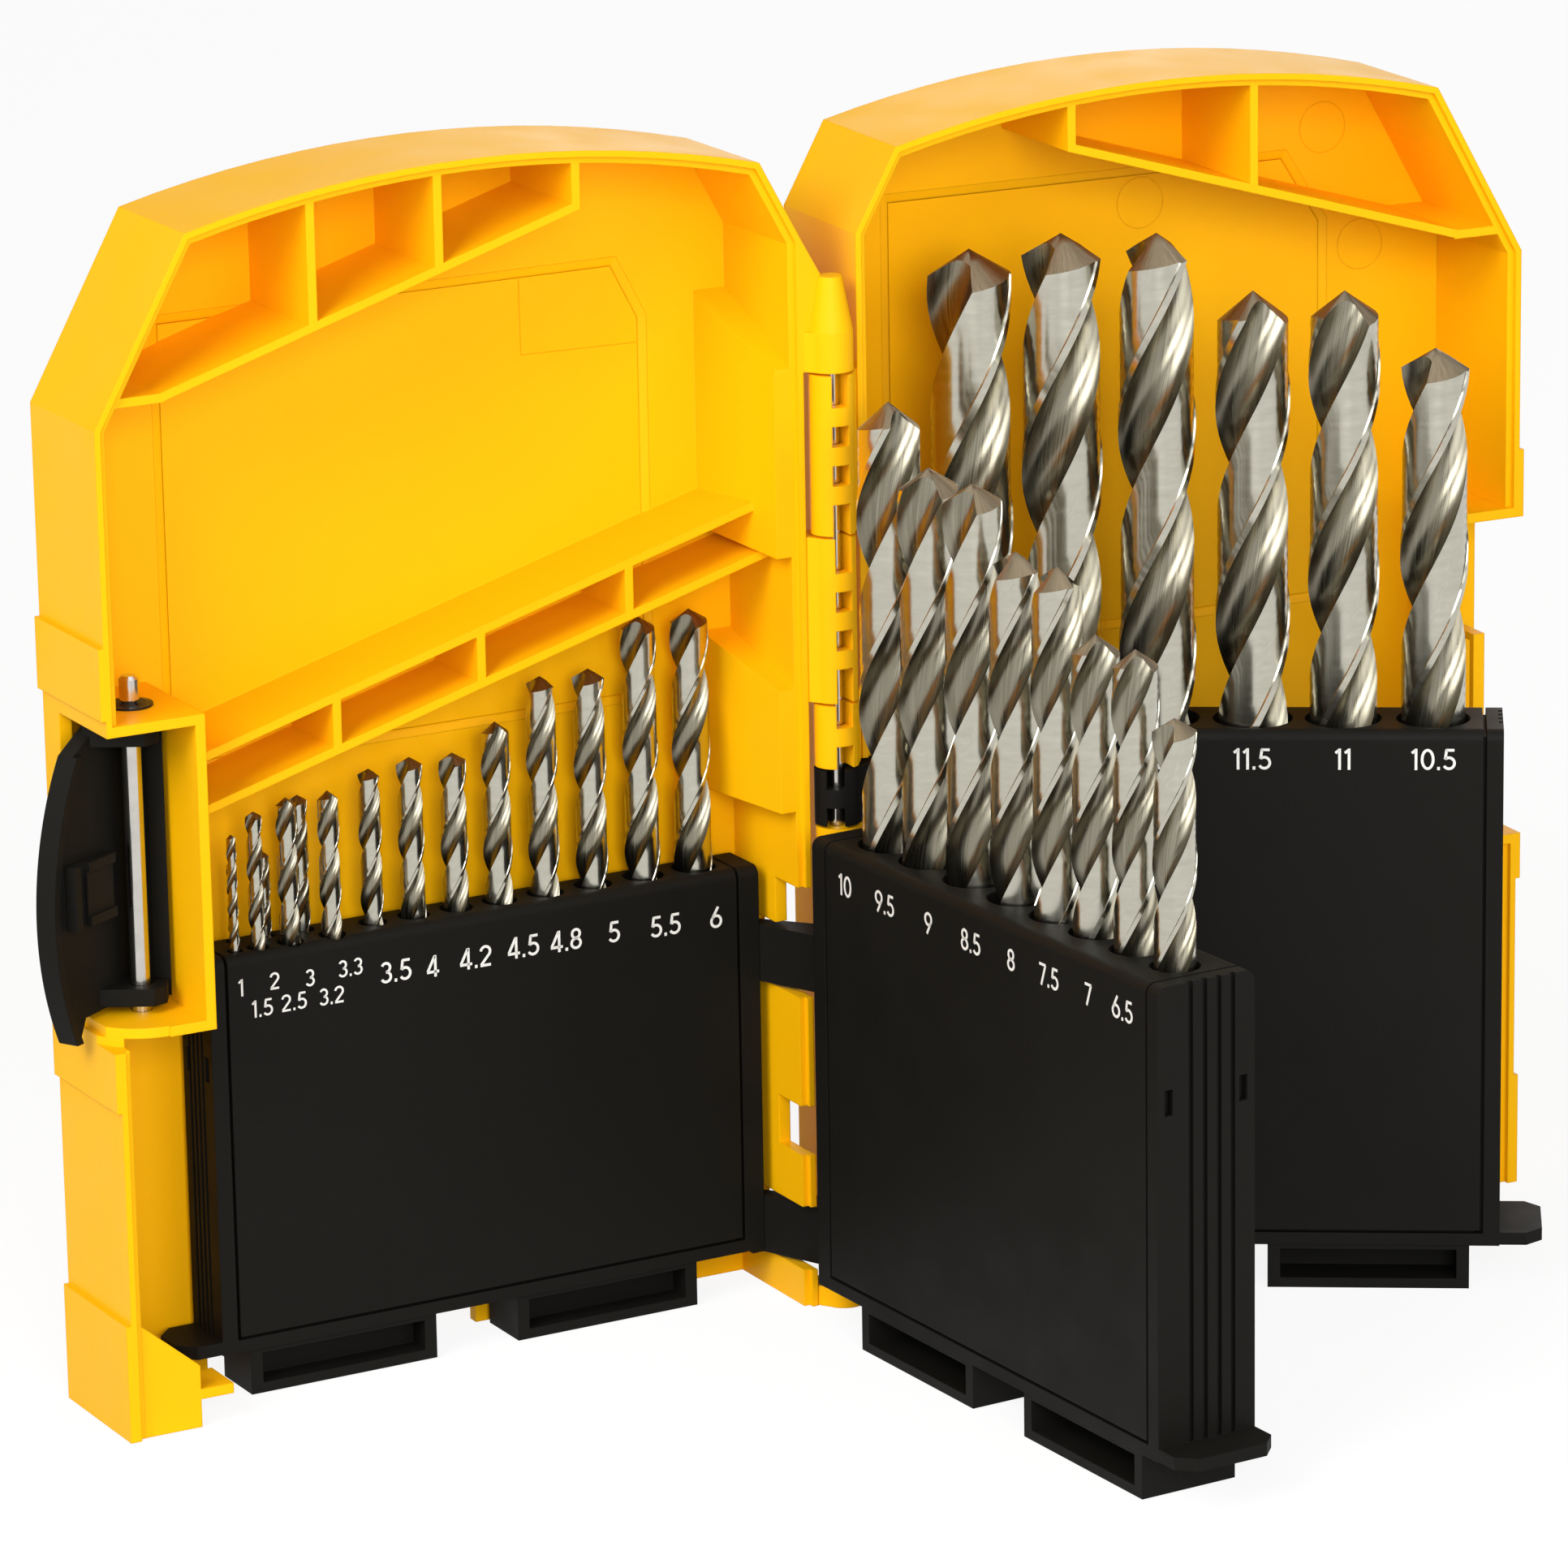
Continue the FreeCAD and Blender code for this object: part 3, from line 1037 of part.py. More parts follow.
def drill_shape(diameter, length, flutes):
    radius = diameter / 2
    slope = math.tan(math.radians(d.point_angle.value / 2))
    pitch = math.pi * diameter / math.tan(math.radians(d.helix_angle.value))
    spine = Part.Wire(Part.LineSegment(ORIGIN, UP * flutes).toShape())
    sweep = Part.BRepOffsetAPI.MakePipeShell(spine)
    sweep.setAuxiliarySpine(Part.makeHelix(pitch, flutes, radius), True, 0)
    sweep.add(flute_section(radius))
    sweep.build()
    sweep.makeSolid()
    fluted = sweep.shape()
    reach = diameter
    cone = Part.makeCone(reach, 0, reach / slope, UP * (flutes - reach / slope))
    if flutes > reach / slope:
        cone = cone.fuse(Part.makeCylinder(reach, flutes - reach / slope))
    fluted = fluted.common(cone)
    fluted.translate(UP * (length - flutes))
    bevel = min(d.shank_bevel.value, radius / 2)
    shank = Part.makeCone(radius - bevel, radius, bevel)
    shank = shank.fuse(Part.makeCylinder(radius, length - flutes - bevel, UP * bevel))
    return shank.fuse(fluted).removeSplitter().Solids[0]


def drill_bit(bit_name, x, y, floor, angle):
    diameter = getattr(d, f"bit_{bit_name}_diameter").value
    length = getattr(d, f"bit_{bit_name}_length").value
    flutes = getattr(d, f"bit_{bit_name}_flutes").value
    solid = doc.addObject("Part::Feature", f"bit_{bit_name}")
    solid.Shape = drill_shape(diameter, length, flutes)
    seat = FreeCAD.Vector(x.value, y.value, floor.value + d.bit_seat.value)
    turn = FreeCAD.Placement(ORIGIN, FreeCAD.Rotation(UP, angle.value))
    start = FreeCAD.Rotation(UP, point_turn(bit_name))
    solid.Placement = turn.multiply(FreeCAD.Placement(seat, start))
    solid.Label = f"bit_{bit_name}"
    nodes.append(solid)


def point_turn(bit_name):
    """Each bit stands turned by its own angle, as dropped in by hand."""
    order = [bit[0] for bit in LEFT_BITS + MIDDLE_BITS + RIGHT_BITS].index(bit_name)
    return (order * d.turn_step.value) % 180


left_shell()
right_shell()
hinge_pin()
latch_assembly()
holder("left", d.left_front_y, d.left_back_y, d.left_top_z, left_arms, d.arm_wide, d.arm_inset,
       LEFT_BITS, 1, d.left_holder_angle)
holder("middle", d.middle_front_y, d.middle_back_y, d.middle_top_z, middle_arms,
       d.middle_arm_wide, d.middle_arm_inset, MIDDLE_BITS, -1, d.middle_holder_angle)
holder("right", d.right_front_y, d.right_back_y, d.right_top_z, right_arms, d.arm_wide,
       d.arm_inset, RIGHT_BITS, -1, d.right_holder_angle)
doc.recompute()

for obj in doc.Objects:
    if "Invalid" in obj.State or "Error" in obj.State:
        raise RuntimeError(f"{obj.Name} failed: {obj.State}")
for obj in nodes:
    if obj.Shape.isNull() or not obj.Shape.isValid():
        raise RuntimeError(f"{obj.Label} has no valid shape")
    if len(obj.Shape.Solids) != 1:
        raise RuntimeError(f"{obj.Label} has {len(obj.Shape.Solids)} solids")

os.makedirs("parts", exist_ok=True)
for obj in nodes:
    obj.Shape.exportStep(f"parts/{obj.Label}.step")
    print(f"{obj.Label}: {obj.Shape.Volume:.1f}")
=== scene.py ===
# %% [markdown]
# # A folding drill bit case, dressed in Blender
#
# The case stands open: two yellow moulded half shells, three black bit holders and a black latch
# turn on steel pins, and 29 twist drills stand in their sockets. The solids come from the CAD
# frame, where every piece already has its true place. This lesson gives each of them a surface,
# and builds the pieces that need finer form than the solids have: the ground twist drills, the
# printed numbers and the push nut.

# %% Load the frame
import math

import bpy
from mathutils import Matrix, Vector


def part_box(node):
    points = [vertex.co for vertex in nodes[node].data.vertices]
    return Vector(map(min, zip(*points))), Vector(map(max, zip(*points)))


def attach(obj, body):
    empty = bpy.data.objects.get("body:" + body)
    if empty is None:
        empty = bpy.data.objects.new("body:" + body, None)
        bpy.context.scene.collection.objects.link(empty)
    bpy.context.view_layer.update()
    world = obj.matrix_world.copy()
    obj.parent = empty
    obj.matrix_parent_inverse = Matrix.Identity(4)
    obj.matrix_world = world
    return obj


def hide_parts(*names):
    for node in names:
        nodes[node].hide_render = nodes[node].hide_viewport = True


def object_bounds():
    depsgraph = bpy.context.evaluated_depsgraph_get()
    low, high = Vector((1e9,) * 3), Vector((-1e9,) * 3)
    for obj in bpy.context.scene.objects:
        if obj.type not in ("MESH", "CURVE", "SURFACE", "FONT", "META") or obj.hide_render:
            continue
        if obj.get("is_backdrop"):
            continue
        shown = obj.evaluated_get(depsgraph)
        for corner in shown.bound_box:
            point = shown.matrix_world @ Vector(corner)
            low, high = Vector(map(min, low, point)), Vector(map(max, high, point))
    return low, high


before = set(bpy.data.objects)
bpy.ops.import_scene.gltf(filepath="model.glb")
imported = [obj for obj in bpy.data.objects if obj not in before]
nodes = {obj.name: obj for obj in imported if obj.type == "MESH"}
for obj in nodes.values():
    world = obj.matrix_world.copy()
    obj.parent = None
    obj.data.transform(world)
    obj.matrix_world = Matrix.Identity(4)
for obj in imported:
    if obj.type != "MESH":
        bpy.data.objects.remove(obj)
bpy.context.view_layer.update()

# %% [markdown]
# ## Millimetres and angles
#
# Places below are millimetres in the folded-shut case: u runs from the hinge pin to the latch
# side, y from the left shell to the right one, z up. Each piece is turned about the pin to stand
# open. One function takes a folded-shut point to its place in the open case, so that printed
# numbers and moulding marks stand where they do on the real piece.

# %% One place function for the whole case
MM = 0.001
TURNED = {
    "right_half": 25.29, "left_half": -151.45,
    "left_holder": -151.0, "middle_holder": -58.88, "right_holder": -4.23,
}


def placed(body):
    """The matrix that takes millimetres of the shut case to metres of the open one."""
    return Matrix.Rotation(math.radians(TURNED[body]), 4, "Z") @ Matrix.Scale(MM, 4)


print("a point of the left shell", placed("left_half") @ Vector((100, 0, 0)))

# %% [markdown]
# ## The camera
#
# The photograph was taken with a long lens from a little above, about 1.2 m away. A long lens
# keeps the upright edges nearly parallel. The height, tilt and roll below were fitted to the tips
# of the drills and to the corners of the holders.

# %% Set the camera
IMAGE_PIXELS = 1932
FOCAL_PIXELS = 9577
SENSOR_MM = 36
CAMERA_MM = Vector((-8.15, -1152.57, 410.42))
PITCH = math.radians(15.79)
ROLL = -0.017
NEAREST = 0.05
FURTHEST = 30

lens = bpy.data.cameras.new("long_lens")
lens.sensor_width = SENSOR_MM
lens.lens = FOCAL_PIXELS * SENSOR_MM / IMAGE_PIXELS
lens.clip_start = NEAREST
lens.clip_end = FURTHEST
camera = bpy.data.objects.new("camera", lens)
bpy.context.scene.collection.objects.link(camera)
right = Vector((1, 0, 0))
forward = Vector((0, math.cos(PITCH), -math.sin(PITCH)))
up = right.cross(forward)
across = math.cos(ROLL) * right + math.sin(ROLL) * up
upward = -math.sin(ROLL) * right + math.cos(ROLL) * up
camera.matrix_world = Matrix((
    (across.x, upward.x, -forward.x, CAMERA_MM.x * MM),
    (across.y, upward.y, -forward.y, CAMERA_MM.y * MM),
    (across.z, upward.z, -forward.z, CAMERA_MM.z * MM),
    (0, 0, 0, 1),
))
bpy.context.scene.camera = camera
bpy.context.scene.view_settings.view_transform = "Standard"
print("lens in mm", round(lens.lens, 2))

# %% [markdown]
# ## Colours and nodes
#
# Finishes are written as sRGB hex values, as a paint shop would, and Blender wants them linear.
# One function converts them. Another one adds a shader node with its settings and its links, so
# a material reads as a list of what it is made of.

# %% Helpers for every finish
NOISE_LOW = 0.3
NOISE_HIGH = 0.7


def paint(hex_value):
    """An sRGB hex value as linear red, green, blue and alpha."""
    linear = []
    for start in (1, 3, 5):
        share = int(hex_value[start:start + 2], 16) / 255
        linear.append(share / 12.92 if share <= 0.04045 else ((share + 0.055) / 1.055) ** 2.4)
    return (*linear, 1.0)


def add(tree, kind, links=(), **settings):
    """Adds a node. links pairs each socket with a value or with another node's output."""
    made = tree.nodes.new(kind)
    for name, value in settings.items():
        setattr(made, name, value)
    for socket, value in dict(links).items():
        if isinstance(value, bpy.types.NodeSocket):
            tree.links.new(value, made.inputs[socket])
        else:
            made.inputs[socket].default_value = value
    return made


def per_metre(size_mm):
    """The texture scale that repeats a pattern once in that many millimetres."""
    return 1 / (size_mm * MM)


def new_material(name):
    """An empty material and its node tree."""
    made = bpy.data.materials.new(name)
    made.use_nodes = True
    made.node_tree.nodes.clear()
    return made, made.node_tree


def shade(tree, shader):
    """Sends a shader to the material's output."""
    add(tree, "ShaderNodeOutputMaterial", {"Surface": shader.outputs[0]})


def blend(tree, share, light, dark):
    """A colour between two paints, as far as the share says."""
    return add(tree, "ShaderNodeMix", {0: share, 6: paint(light), 7: paint(dark)},
               data_type="RGBA").outputs[2]


def spread(tree, value, low, high):
    """Stretches the middle of a noise over the range from low to high."""
    return add(tree, "ShaderNodeMapRange", {0: value, 1: NOISE_LOW, 2: NOISE_HIGH,
                                            3: low, 4: high}).outputs[0]


def link(name, mesh):
    """An object of that name in the scene."""
    made = bpy.data.objects.new(name, mesh)
    bpy.context.scene.collection.objects.link(made)
    return made


print("paint check", [round(part, 3) for part in paint("#FFC40A")[:3]])

# %% [markdown]
# ## Floor and light
#
# The case stands on a white sweep under large soft lamps. The floor shows white wherever no shadow
# falls. A world that is white to the camera and in reflections, but dimmer as a lamp, keeps the
# background clean without washing out the plastic.

# %% Floor, world and lamps
FLOOR_HALF = 4.0
FLOOR_GAP = 0.0002
FLOOR_GLOW = 0.88
AMBIENT = 0.14

floor_mesh = bpy.data.meshes.new("white_sweep")
floor_mesh.from_pydata(
    [(-FLOOR_HALF, -FLOOR_HALF, -FLOOR_GAP), (FLOOR_HALF, -FLOOR_HALF, -FLOOR_GAP),
     (FLOOR_HALF, FLOOR_HALF, -FLOOR_GAP), (-FLOOR_HALF, FLOOR_HALF, -FLOOR_GAP)],
    [], [(0, 1, 2, 3)])
floor = link("white_sweep", floor_mesh)
floor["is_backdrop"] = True


def seen_directly(tree):
    """1 where the camera or a mirror looks, 0 where the surface only lights others."""
    path = add(tree, "ShaderNodeLightPath")
    either = add(tree, "ShaderNodeMath", {0: path.outputs["Is Camera Ray"],
                                          1: path.outputs["Is Glossy Ray"]}, operation="MAXIMUM")
    return add(tree, "ShaderNodeMath", {0: either.outputs[0],
                                        1: path.outputs["Is Transmission Ray"]},
               operation="MAXIMUM").outputs[0]


paper, tree = new_material("matt_white_paper")
matt = add(tree, "ShaderNodeBsdfDiffuse", {"Color": paint("#F6F6F5"), "Roughness": 0.6})
glow = add(tree, "ShaderNodeEmission", {"Color": paint("#FFFFFF"), "Strength": 1.0})
share = add(tree, "ShaderNodeMath", {0: seen_directly(tree), 1: FLOOR_GLOW}, operation="MULTIPLY")
shade(tree, add(tree, "ShaderNodeMixShader", {0: share.outputs[0], 1: matt.outputs[0],
                                              2: glow.outputs[0]}))
floor_mesh.materials.append(paper)

world = bpy.data.worlds.new("white_studio")
bpy.context.scene.world = world
world.use_nodes = True
tree = world.node_tree
tree.nodes.clear()
ambient = add(tree, "ShaderNodeBackground", {"Color": paint("#FFFFFF"), "Strength": AMBIENT})
white = add(tree, "ShaderNodeBackground", {"Color": paint("#FFFFFF"), "Strength": 1.0})
mixed = add(tree, "ShaderNodeMixShader", {0: seen_directly(tree), 1: ambient.outputs[0],
                                          2: white.outputs[0]})
add(tree, "ShaderNodeOutputWorld", {"Surface": mixed.outputs[0]})

LAMPS = (
    ("key_softbox", (-0.75, -1.05, 0.95), 0.8, 16.5),
    ("front_softbox", (0.25, -1.5, 0.55), 0.7, 13.5),
    ("fill_softbox", (0.95, -0.9, 0.6), 0.8, 4.0),
    ("top_softbox", (0.05, -0.15, 1.25), 0.9, 1.2),
    ("back_softbox", (0.3, 1.3, 0.7), 0.9, 4.0),
)
AIM = Vector((0, 0, 0.09))
for lamp_name, place, size, watts in LAMPS:
    lamp = bpy.data.lights.new(lamp_name, "AREA")
    lamp.shape = "SQUARE"
    lamp.size = size
    lamp.energy = watts
    holder = link(lamp_name, lamp)
    holder.location = place
    holder.rotation_mode = "QUATERNION"
    holder.rotation_quaternion = (AIM - holder.location).to_track_quat("-Z", "Y")
print("lamps", len(LAMPS))

# %% [markdown]
# Bright steel only looks like steel when it mirrors something dark as well as something bright.
# Studios stand black cards between the lamps for this. The cards here are seen by reflections
# only: they neither shade the case nor show to the camera.

# %% Black cards for the steel to mirror
CARDS = ((0.6, -1.2), (-0.26, -1.45), (-1.3, -0.35), (1.3, -0.35), (-0.6, 1.2), (0.75, 1.1),
         (-1.15, 0.5), (1.25, 0.55))
CARD_HALF = 0.19
CARD_TOP = 1.3
card_paper, tree = new_material("matt_black_card")
shade(tree, add(tree, "ShaderNodeBsdfDiffuse", {"Color": paint("#0B0B0B"), "Roughness": 0.8}))
for number, (x, y) in enumerate(CARDS):
    side = Vector((-y, x, 0)).normalized() * CARD_HALF
    corners = [(x - side.x, y - side.y, 0.0), (x + side.x, y + side.y, 0.0),
               (x + side.x, y + side.y, CARD_TOP), (x - side.x, y - side.y, CARD_TOP)]
    card_mesh = bpy.data.meshes.new(f"black_card_{number}")
    card_mesh.from_pydata(corners, [], [(0, 1, 2, 3)])
    card_mesh.materials.append(card_paper)
    card = link(f"black_card_{number}", card_mesh)
    card.visible_camera = False
    card.visible_diffuse = False
    card.visible_shadow = False
    card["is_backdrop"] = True
print("cards", len(CARDS))

# %% [markdown]
# ## Yellow moulded polypropylene
#
# The shells are injection moulded from a bright warm yellow polypropylene, in a mould with a fine
# spark-eroded finish. That gives a satin skin: broad soft highlights, a very fine grain, and a
# slow wander of gloss where the melt flowed. Saturated yellow walls light each other, which turns
# the deep corners orange by itself, so no orange is painted in.

# %% Yellow shells
GRAIN_MM = 0.55  # the real grain is about 0.2 mm, too fine to show
FLOW_MM = 38
GLOSS_MM = 11
PLASTIC_IOR = 1.49


def moulded_plastic(name, light, dark, rough, grain_mm, grain_depth, edge_mm, gloss):
    """A satin moulded plastic with a fine grain, a slow change of gloss and soft edges."""
    made, tree = new_material(name)
    where = add(tree, "ShaderNodeTexCoord").outputs["Object"]
    flow = add(tree, "ShaderNodeTexNoise", {"Vector": where, "Scale": per_metre(FLOW_MM),
                                            "Detail": 3.0})
    gloss_flow = add(tree, "ShaderNodeTexNoise", {"Vector": where, "Scale": per_metre(GLOSS_MM),
                                                  "Detail": 4.0})
    grain = add(tree, "ShaderNodeTexNoise", {"Vector": where, "Scale": per_metre(grain_mm),
                                             "Detail": 2.0, "Roughness": 0.6})
    edge = add(tree, "ShaderNodeBevel", {"Radius": edge_mm * MM}, samples=4)
    bump = add(tree, "ShaderNodeBump", {"Height": grain.outputs["Fac"], "Strength": 1.0,
                                        "Distance": grain_depth * MM,
                                        "Normal": edge.outputs[0]})
    shade(tree, add(tree, "ShaderNodeBsdfPrincipled", {
        "Base Color": blend(tree, flow.outputs["Fac"], light, dark),
        "Roughness": spread(tree, gloss_flow.outputs["Fac"], rough - 0.05, rough + 0.07),
        "IOR": PLASTIC_IOR, "Specular IOR Level": gloss, "Normal": bump.outputs[0]}))
    return made


yellow_plastic = moulded_plastic("yellow_moulded_polypropylene", "#FFC008", "#FFB905",
                                 0.42, GRAIN_MM, 0.012, 0.3, 0.1)
print("made", yellow_plastic.name)

# %% [markdown]
# ## Black moulded polypropylene
#
# Holders and latch are the same kind of plastic in black, with a slightly coarser texture that
# hides finger marks. Black with a texture never looks pure black: the skin scatters a little light
# at every angle.

# %% Black holders and latch
black_plastic = moulded_plastic("black_moulded_polypropylene", "#151411", "#11100D",
                                0.58, 0.5, 0.02, 0.25, 0.1)
print("made", black_plastic.name)

# %% [markdown]
# ## Steel
#
# Twist drills are high speed steel. Their lands, points and shanks are ground bright, and the
# flutes keep the streaks of the milling cutter. The flutes are also coloured darker and warmer
# than the lands: that is painted shade for the hollow of each flute. The hinge wire and the latch
# pin are drawn and nickel plated, smoother than any of those. The push nut is spring steel with a
# black phosphate skin.

# %% Steel finishes
def streaked_steel(name, light, dark, rough_low, rough_high, across_mm, along_mm, depth_mm):
    """Steel with marks that run along the helix, from the map that each drill carries."""
    made, tree = new_material(name)
    where = add(tree, "ShaderNodeUVMap", uv_map="helix").outputs[0]
    stretched = add(tree, "ShaderNodeMapping", {"Vector": where,
                                                "Scale": (1 / across_mm, 1 / along_mm, 1)})
    marks = add(tree, "ShaderNodeTexNoise", {"Vector": stretched.outputs[0], "Scale": 1.0,
                                             "Detail": 3.0, "Roughness": 0.65})
    height = marks.outputs["Fac"]
    bump = add(tree, "ShaderNodeBump", {"Height": height, "Strength": 1.0,
                                        "Distance": depth_mm * MM})
    shade(tree, add(tree, "ShaderNodeBsdfPrincipled", {
        "Base Color": blend(tree, spread(tree, height, 0.0, 1.0), dark, light), "Metallic": 1.0,
        "Roughness": spread(tree, height, rough_low, rough_high), "Normal": bump.outputs[0]}))
    return made


ground_steel = streaked_steel("ground_high_speed_steel", "#C8C5B7", "#BCB9AA",
                              0.17, 0.24, 6.0, 1.4, 0.0004)
# The flute colours are darker and warmer than the lands: painted shade for the hollow flutes.
flute_steel_painted_shade = streaked_steel("milled_flute_steel_painted_shade", "#A29D8C", "#767060",
                             0.22, 0.36, 0.3, 18.0, 0.005)
point_steel = streaked_steel("ground_drill_point", "#94866F", "#716551",
                             0.3, 0.42, 0.3, 3.0, 0.004)


def solid_steel(name, light, dark, rough, metallic, wander_mm):
    """Steel whose tone and gloss wander slowly, with no streaks."""
    made, tree = new_material(name)
    where = add(tree, "ShaderNodeTexCoord").outputs["Object"]
    wander = add(tree, "ShaderNodeTexNoise", {"Vector": where, "Scale": per_metre(wander_mm),
                                              "Detail": 3.0})
    height = wander.outputs["Fac"]
    bump = add(tree, "ShaderNodeBump", {"Height": height, "Strength": 0.4,
                                        "Distance": 0.01 * MM})
    shade(tree, add(tree, "ShaderNodeBsdfPrincipled", {
        "Base Color": blend(tree, height, light, dark), "Metallic": metallic,
        "Roughness": spread(tree, height, rough - 0.04, rough + 0.05),
        "Normal": bump.outputs[0]}))
    return made


pin_steel = solid_steel("nickel_plated_steel_wire", "#DDDAD3", "#C2BEB6", 0.16, 1.0, 3.0)
spring_steel = solid_steel("black_phosphated_spring_steel", "#2A2825", "#191816", 0.4, 0.6, 1.2)
print("steels", ground_steel.name, flute_steel_painted_shade.name, point_steel.name, pin_steel.name,
      spring_steel.name)

# %% Give every CAD node its finish
FINISHES = (
    (yellow_plastic, ("left_shell", "right_shell")),
    (black_plastic, ("latch", "left_holder", "middle_holder", "right_holder")),
    (pin_steel, ("hinge_pin", "latch_pin")),
    (spring_steel, ("latch_push_nut",)),
    (ground_steel, ("bit_",)),
)
for node_name, cad_node in nodes.items():
    for finish, starts in FINISHES:
        if node_name.startswith(starts):
            chosen = finish
    for slot in range(len(cad_node.material_slots)):
        cad_node.material_slots[slot].material = chosen
    if not cad_node.material_slots:
        cad_node.data.materials.append(chosen)
print("dressed", len(nodes), "nodes")

# %% [markdown]
# ## Twist drills
#
# A jobber drill is a round bar with two helical flutes milled into it. Between the flutes stand
# two lands. Only a narrow margin along the leading edge of each land is ground to full size, and
# the rest sits a little lower so that it doesn't rub. The point is a 118 degree cone whose flanks
# fall away behind the cutting lips. Each drill is swept in code: one cross section, turned as it
# rises, and cut off by the point. A map that follows the helix is kept for the steel's streaks.

# %% The cross section of a drill
HELIX = math.radians(28)
HALF_POINT = math.radians(59)
LAND_HALF = math.radians(46)
WEB_SHARE = 0.3
MARGIN = math.radians(13)
CLEARANCE_SHARE = 0.05
MARGIN_STEP = 0.03
LIP_RELIEF = math.tan(math.radians(11))
RELIEF_START = 0.4
RELIEF_RUN = 0.2
LAND_STEPS = 5
FLUTE_STEPS = 12


def drill_section(radius):
    """Points round the drill as (reach, angle, behind the lip, part), counter-clockwise."""
    centre = (1 - WEB_SHARE ** 2) / (2 * (math.sin(LAND_HALF) - WEB_SHARE))
    flute_radius = centre - WEB_SHARE
    points = []
    for turn in (0, math.pi):
        heel = -LAND_HALF
        margin_start = LAND_HALF - MARGIN
        for step in range(LAND_STEPS + 1):
            angle = heel + (margin_start - heel) * step / LAND_STEPS
            points.append((radius * (1 - CLEARANCE_SHARE), turn + angle, LAND_HALF - angle, "land"))
        for angle in (margin_start + MARGIN_STEP, LAND_HALF):
            points.append((radius, turn + angle, LAND_HALF - angle, "margin"))
        first = math.atan2(centre - math.sin(LAND_HALF), math.cos(LAND_HALF))
        for step in range(1, FLUTE_STEPS):
            share = step / FLUTE_STEPS
            sweep = -first - (math.pi - 2 * first) * share
            x = flute_radius * math.cos(sweep)
            y = centre + flute_radius * math.sin(sweep)
            angle = math.atan2(y, x)
            past = min(1.0, max(0.0, (share - RELIEF_START) / RELIEF_RUN))
            behind = past * (math.pi + LAND_HALF - angle)
            points.append((radius * math.hypot(x, y), turn + angle, behind, "flute"))
    return points


print("points round a drill", len(drill_section(1.0)))


# %% Sweep one drill
RINGS_PER_TURN = 36
FEWEST_RINGS = 12
SHANK_BEVEL = 0.4
RUN_OUT = 1.3
POINT_RINGS = (0.66, 0.33)
SHARP = math.radians(34)
GROUND, SHADED_FLUTE, POINT = range(3)


def drill_mesh(name, diameter, length, flutes, start_turn):
    """A whole drill: shank, turned flutes and ground point, with a material slot for each."""
    radius = diameter / 2
    section = drill_section(radius)
    count = len(section)
    rise_per_radian = radius / math.tan(HELIX)
    foot = length - flutes
    bevel = min(SHANK_BEVEL, radius / 2)
    verts = []
    rings = []
    for z, reach in ((0.0, radius - bevel), (bevel, radius), (foot * 0.5, radius)):
        rings.append(("shank", len(verts)))
        for _, angle, _, _ in section:
            turned = angle + start_turn
            verts.append((reach * math.cos(turned), reach * math.sin(turned), z))
    steps = max(FEWEST_RINGS, round(RINGS_PER_TURN * flutes / (2 * math.pi * rise_per_radian)))
    slope = math.tan(HALF_POINT)
    for ring in range(steps + 1):
        rings.append(("flute", len(verts)))
        for reach, angle, behind, _ in section:
            top = flutes - reach / slope - reach * LIP_RELIEF * behind
            z = top * ring / steps
            fade = min(1.0, z / (RUN_OUT * diameter))
            fade = fade * fade * (3 - 2 * fade)
            near = radius - (radius - reach) * fade
            turned = angle + start_turn + z / rise_per_radian
            verts.append((near * math.cos(turned), near * math.sin(turned), foot + z))
    rim = rings[-1][1]
    for inward in POINT_RINGS:
        rings.append(("point", len(verts)))
        for column, (reach, _, behind, _) in enumerate(section):
            x, y, _ = verts[rim + column]
            z = length - inward * (reach / slope + reach * LIP_RELIEF * behind)
            verts.append((x * inward, y * inward, z))
    faces = []
    kinds = []
    for (_, low), (kind, high) in zip(rings, rings[1:]):
        for column in range(count):
            after = (column + 1) % count
            faces.append((low + column, low + after, high + after, high + column))
            part = section[after][3] if section[column][3] != "flute" else "flute"
            if kind == "point":
                kinds.append(POINT)
            else:
                # faces in the flutes take the steel coloured with painted shade
                kinds.append(SHADED_FLUTE if kind == "flute" and part == "flute" else GROUND)
    tip = len(verts)
    verts.append((0.0, 0.0, length))
    last = rings[-1][1]
    for column in range(count):
        faces.append((last + column, last + (column + 1) % count, tip))
        kinds.append(POINT)
    faces.append(tuple(range(count - 1, -1, -1)))
    kinds.append(GROUND)
    mesh = bpy.data.meshes.new(name)
    mesh.from_pydata([[MM * part for part in vert] for vert in verts], [], faces)
    for finish in (ground_steel, flute_steel_painted_shade, point_steel):
        mesh.materials.append(finish)
    mesh.polygons.foreach_set("material_index", kinds)
    map_helix(mesh, section, count, radius)
    mesh.shade_smooth()
    mesh.set_sharp_from_angle(angle=SHARP)
    return mesh


def map_helix(mesh, section, count, radius):
    """A flat map in millimetres: round the section across, up the drill along."""
    helix = mesh.uv_layers.new(name="helix")
    for face in mesh.polygons:
        columns = [index % count for index in face.vertices]
        wraps = max(columns) - min(columns) > count // 2
        for loop, column in zip(face.loop_indices, columns):
            turns = section[column][1] % (2 * math.pi)
            if wraps and turns < math.pi:
                turns += 2 * math.pi
            high = mesh.vertices[mesh.loops[loop].vertex_index].co.z / MM
            helix.data[loop].uv = (turns * radius, high)


print("drill sweep ready")

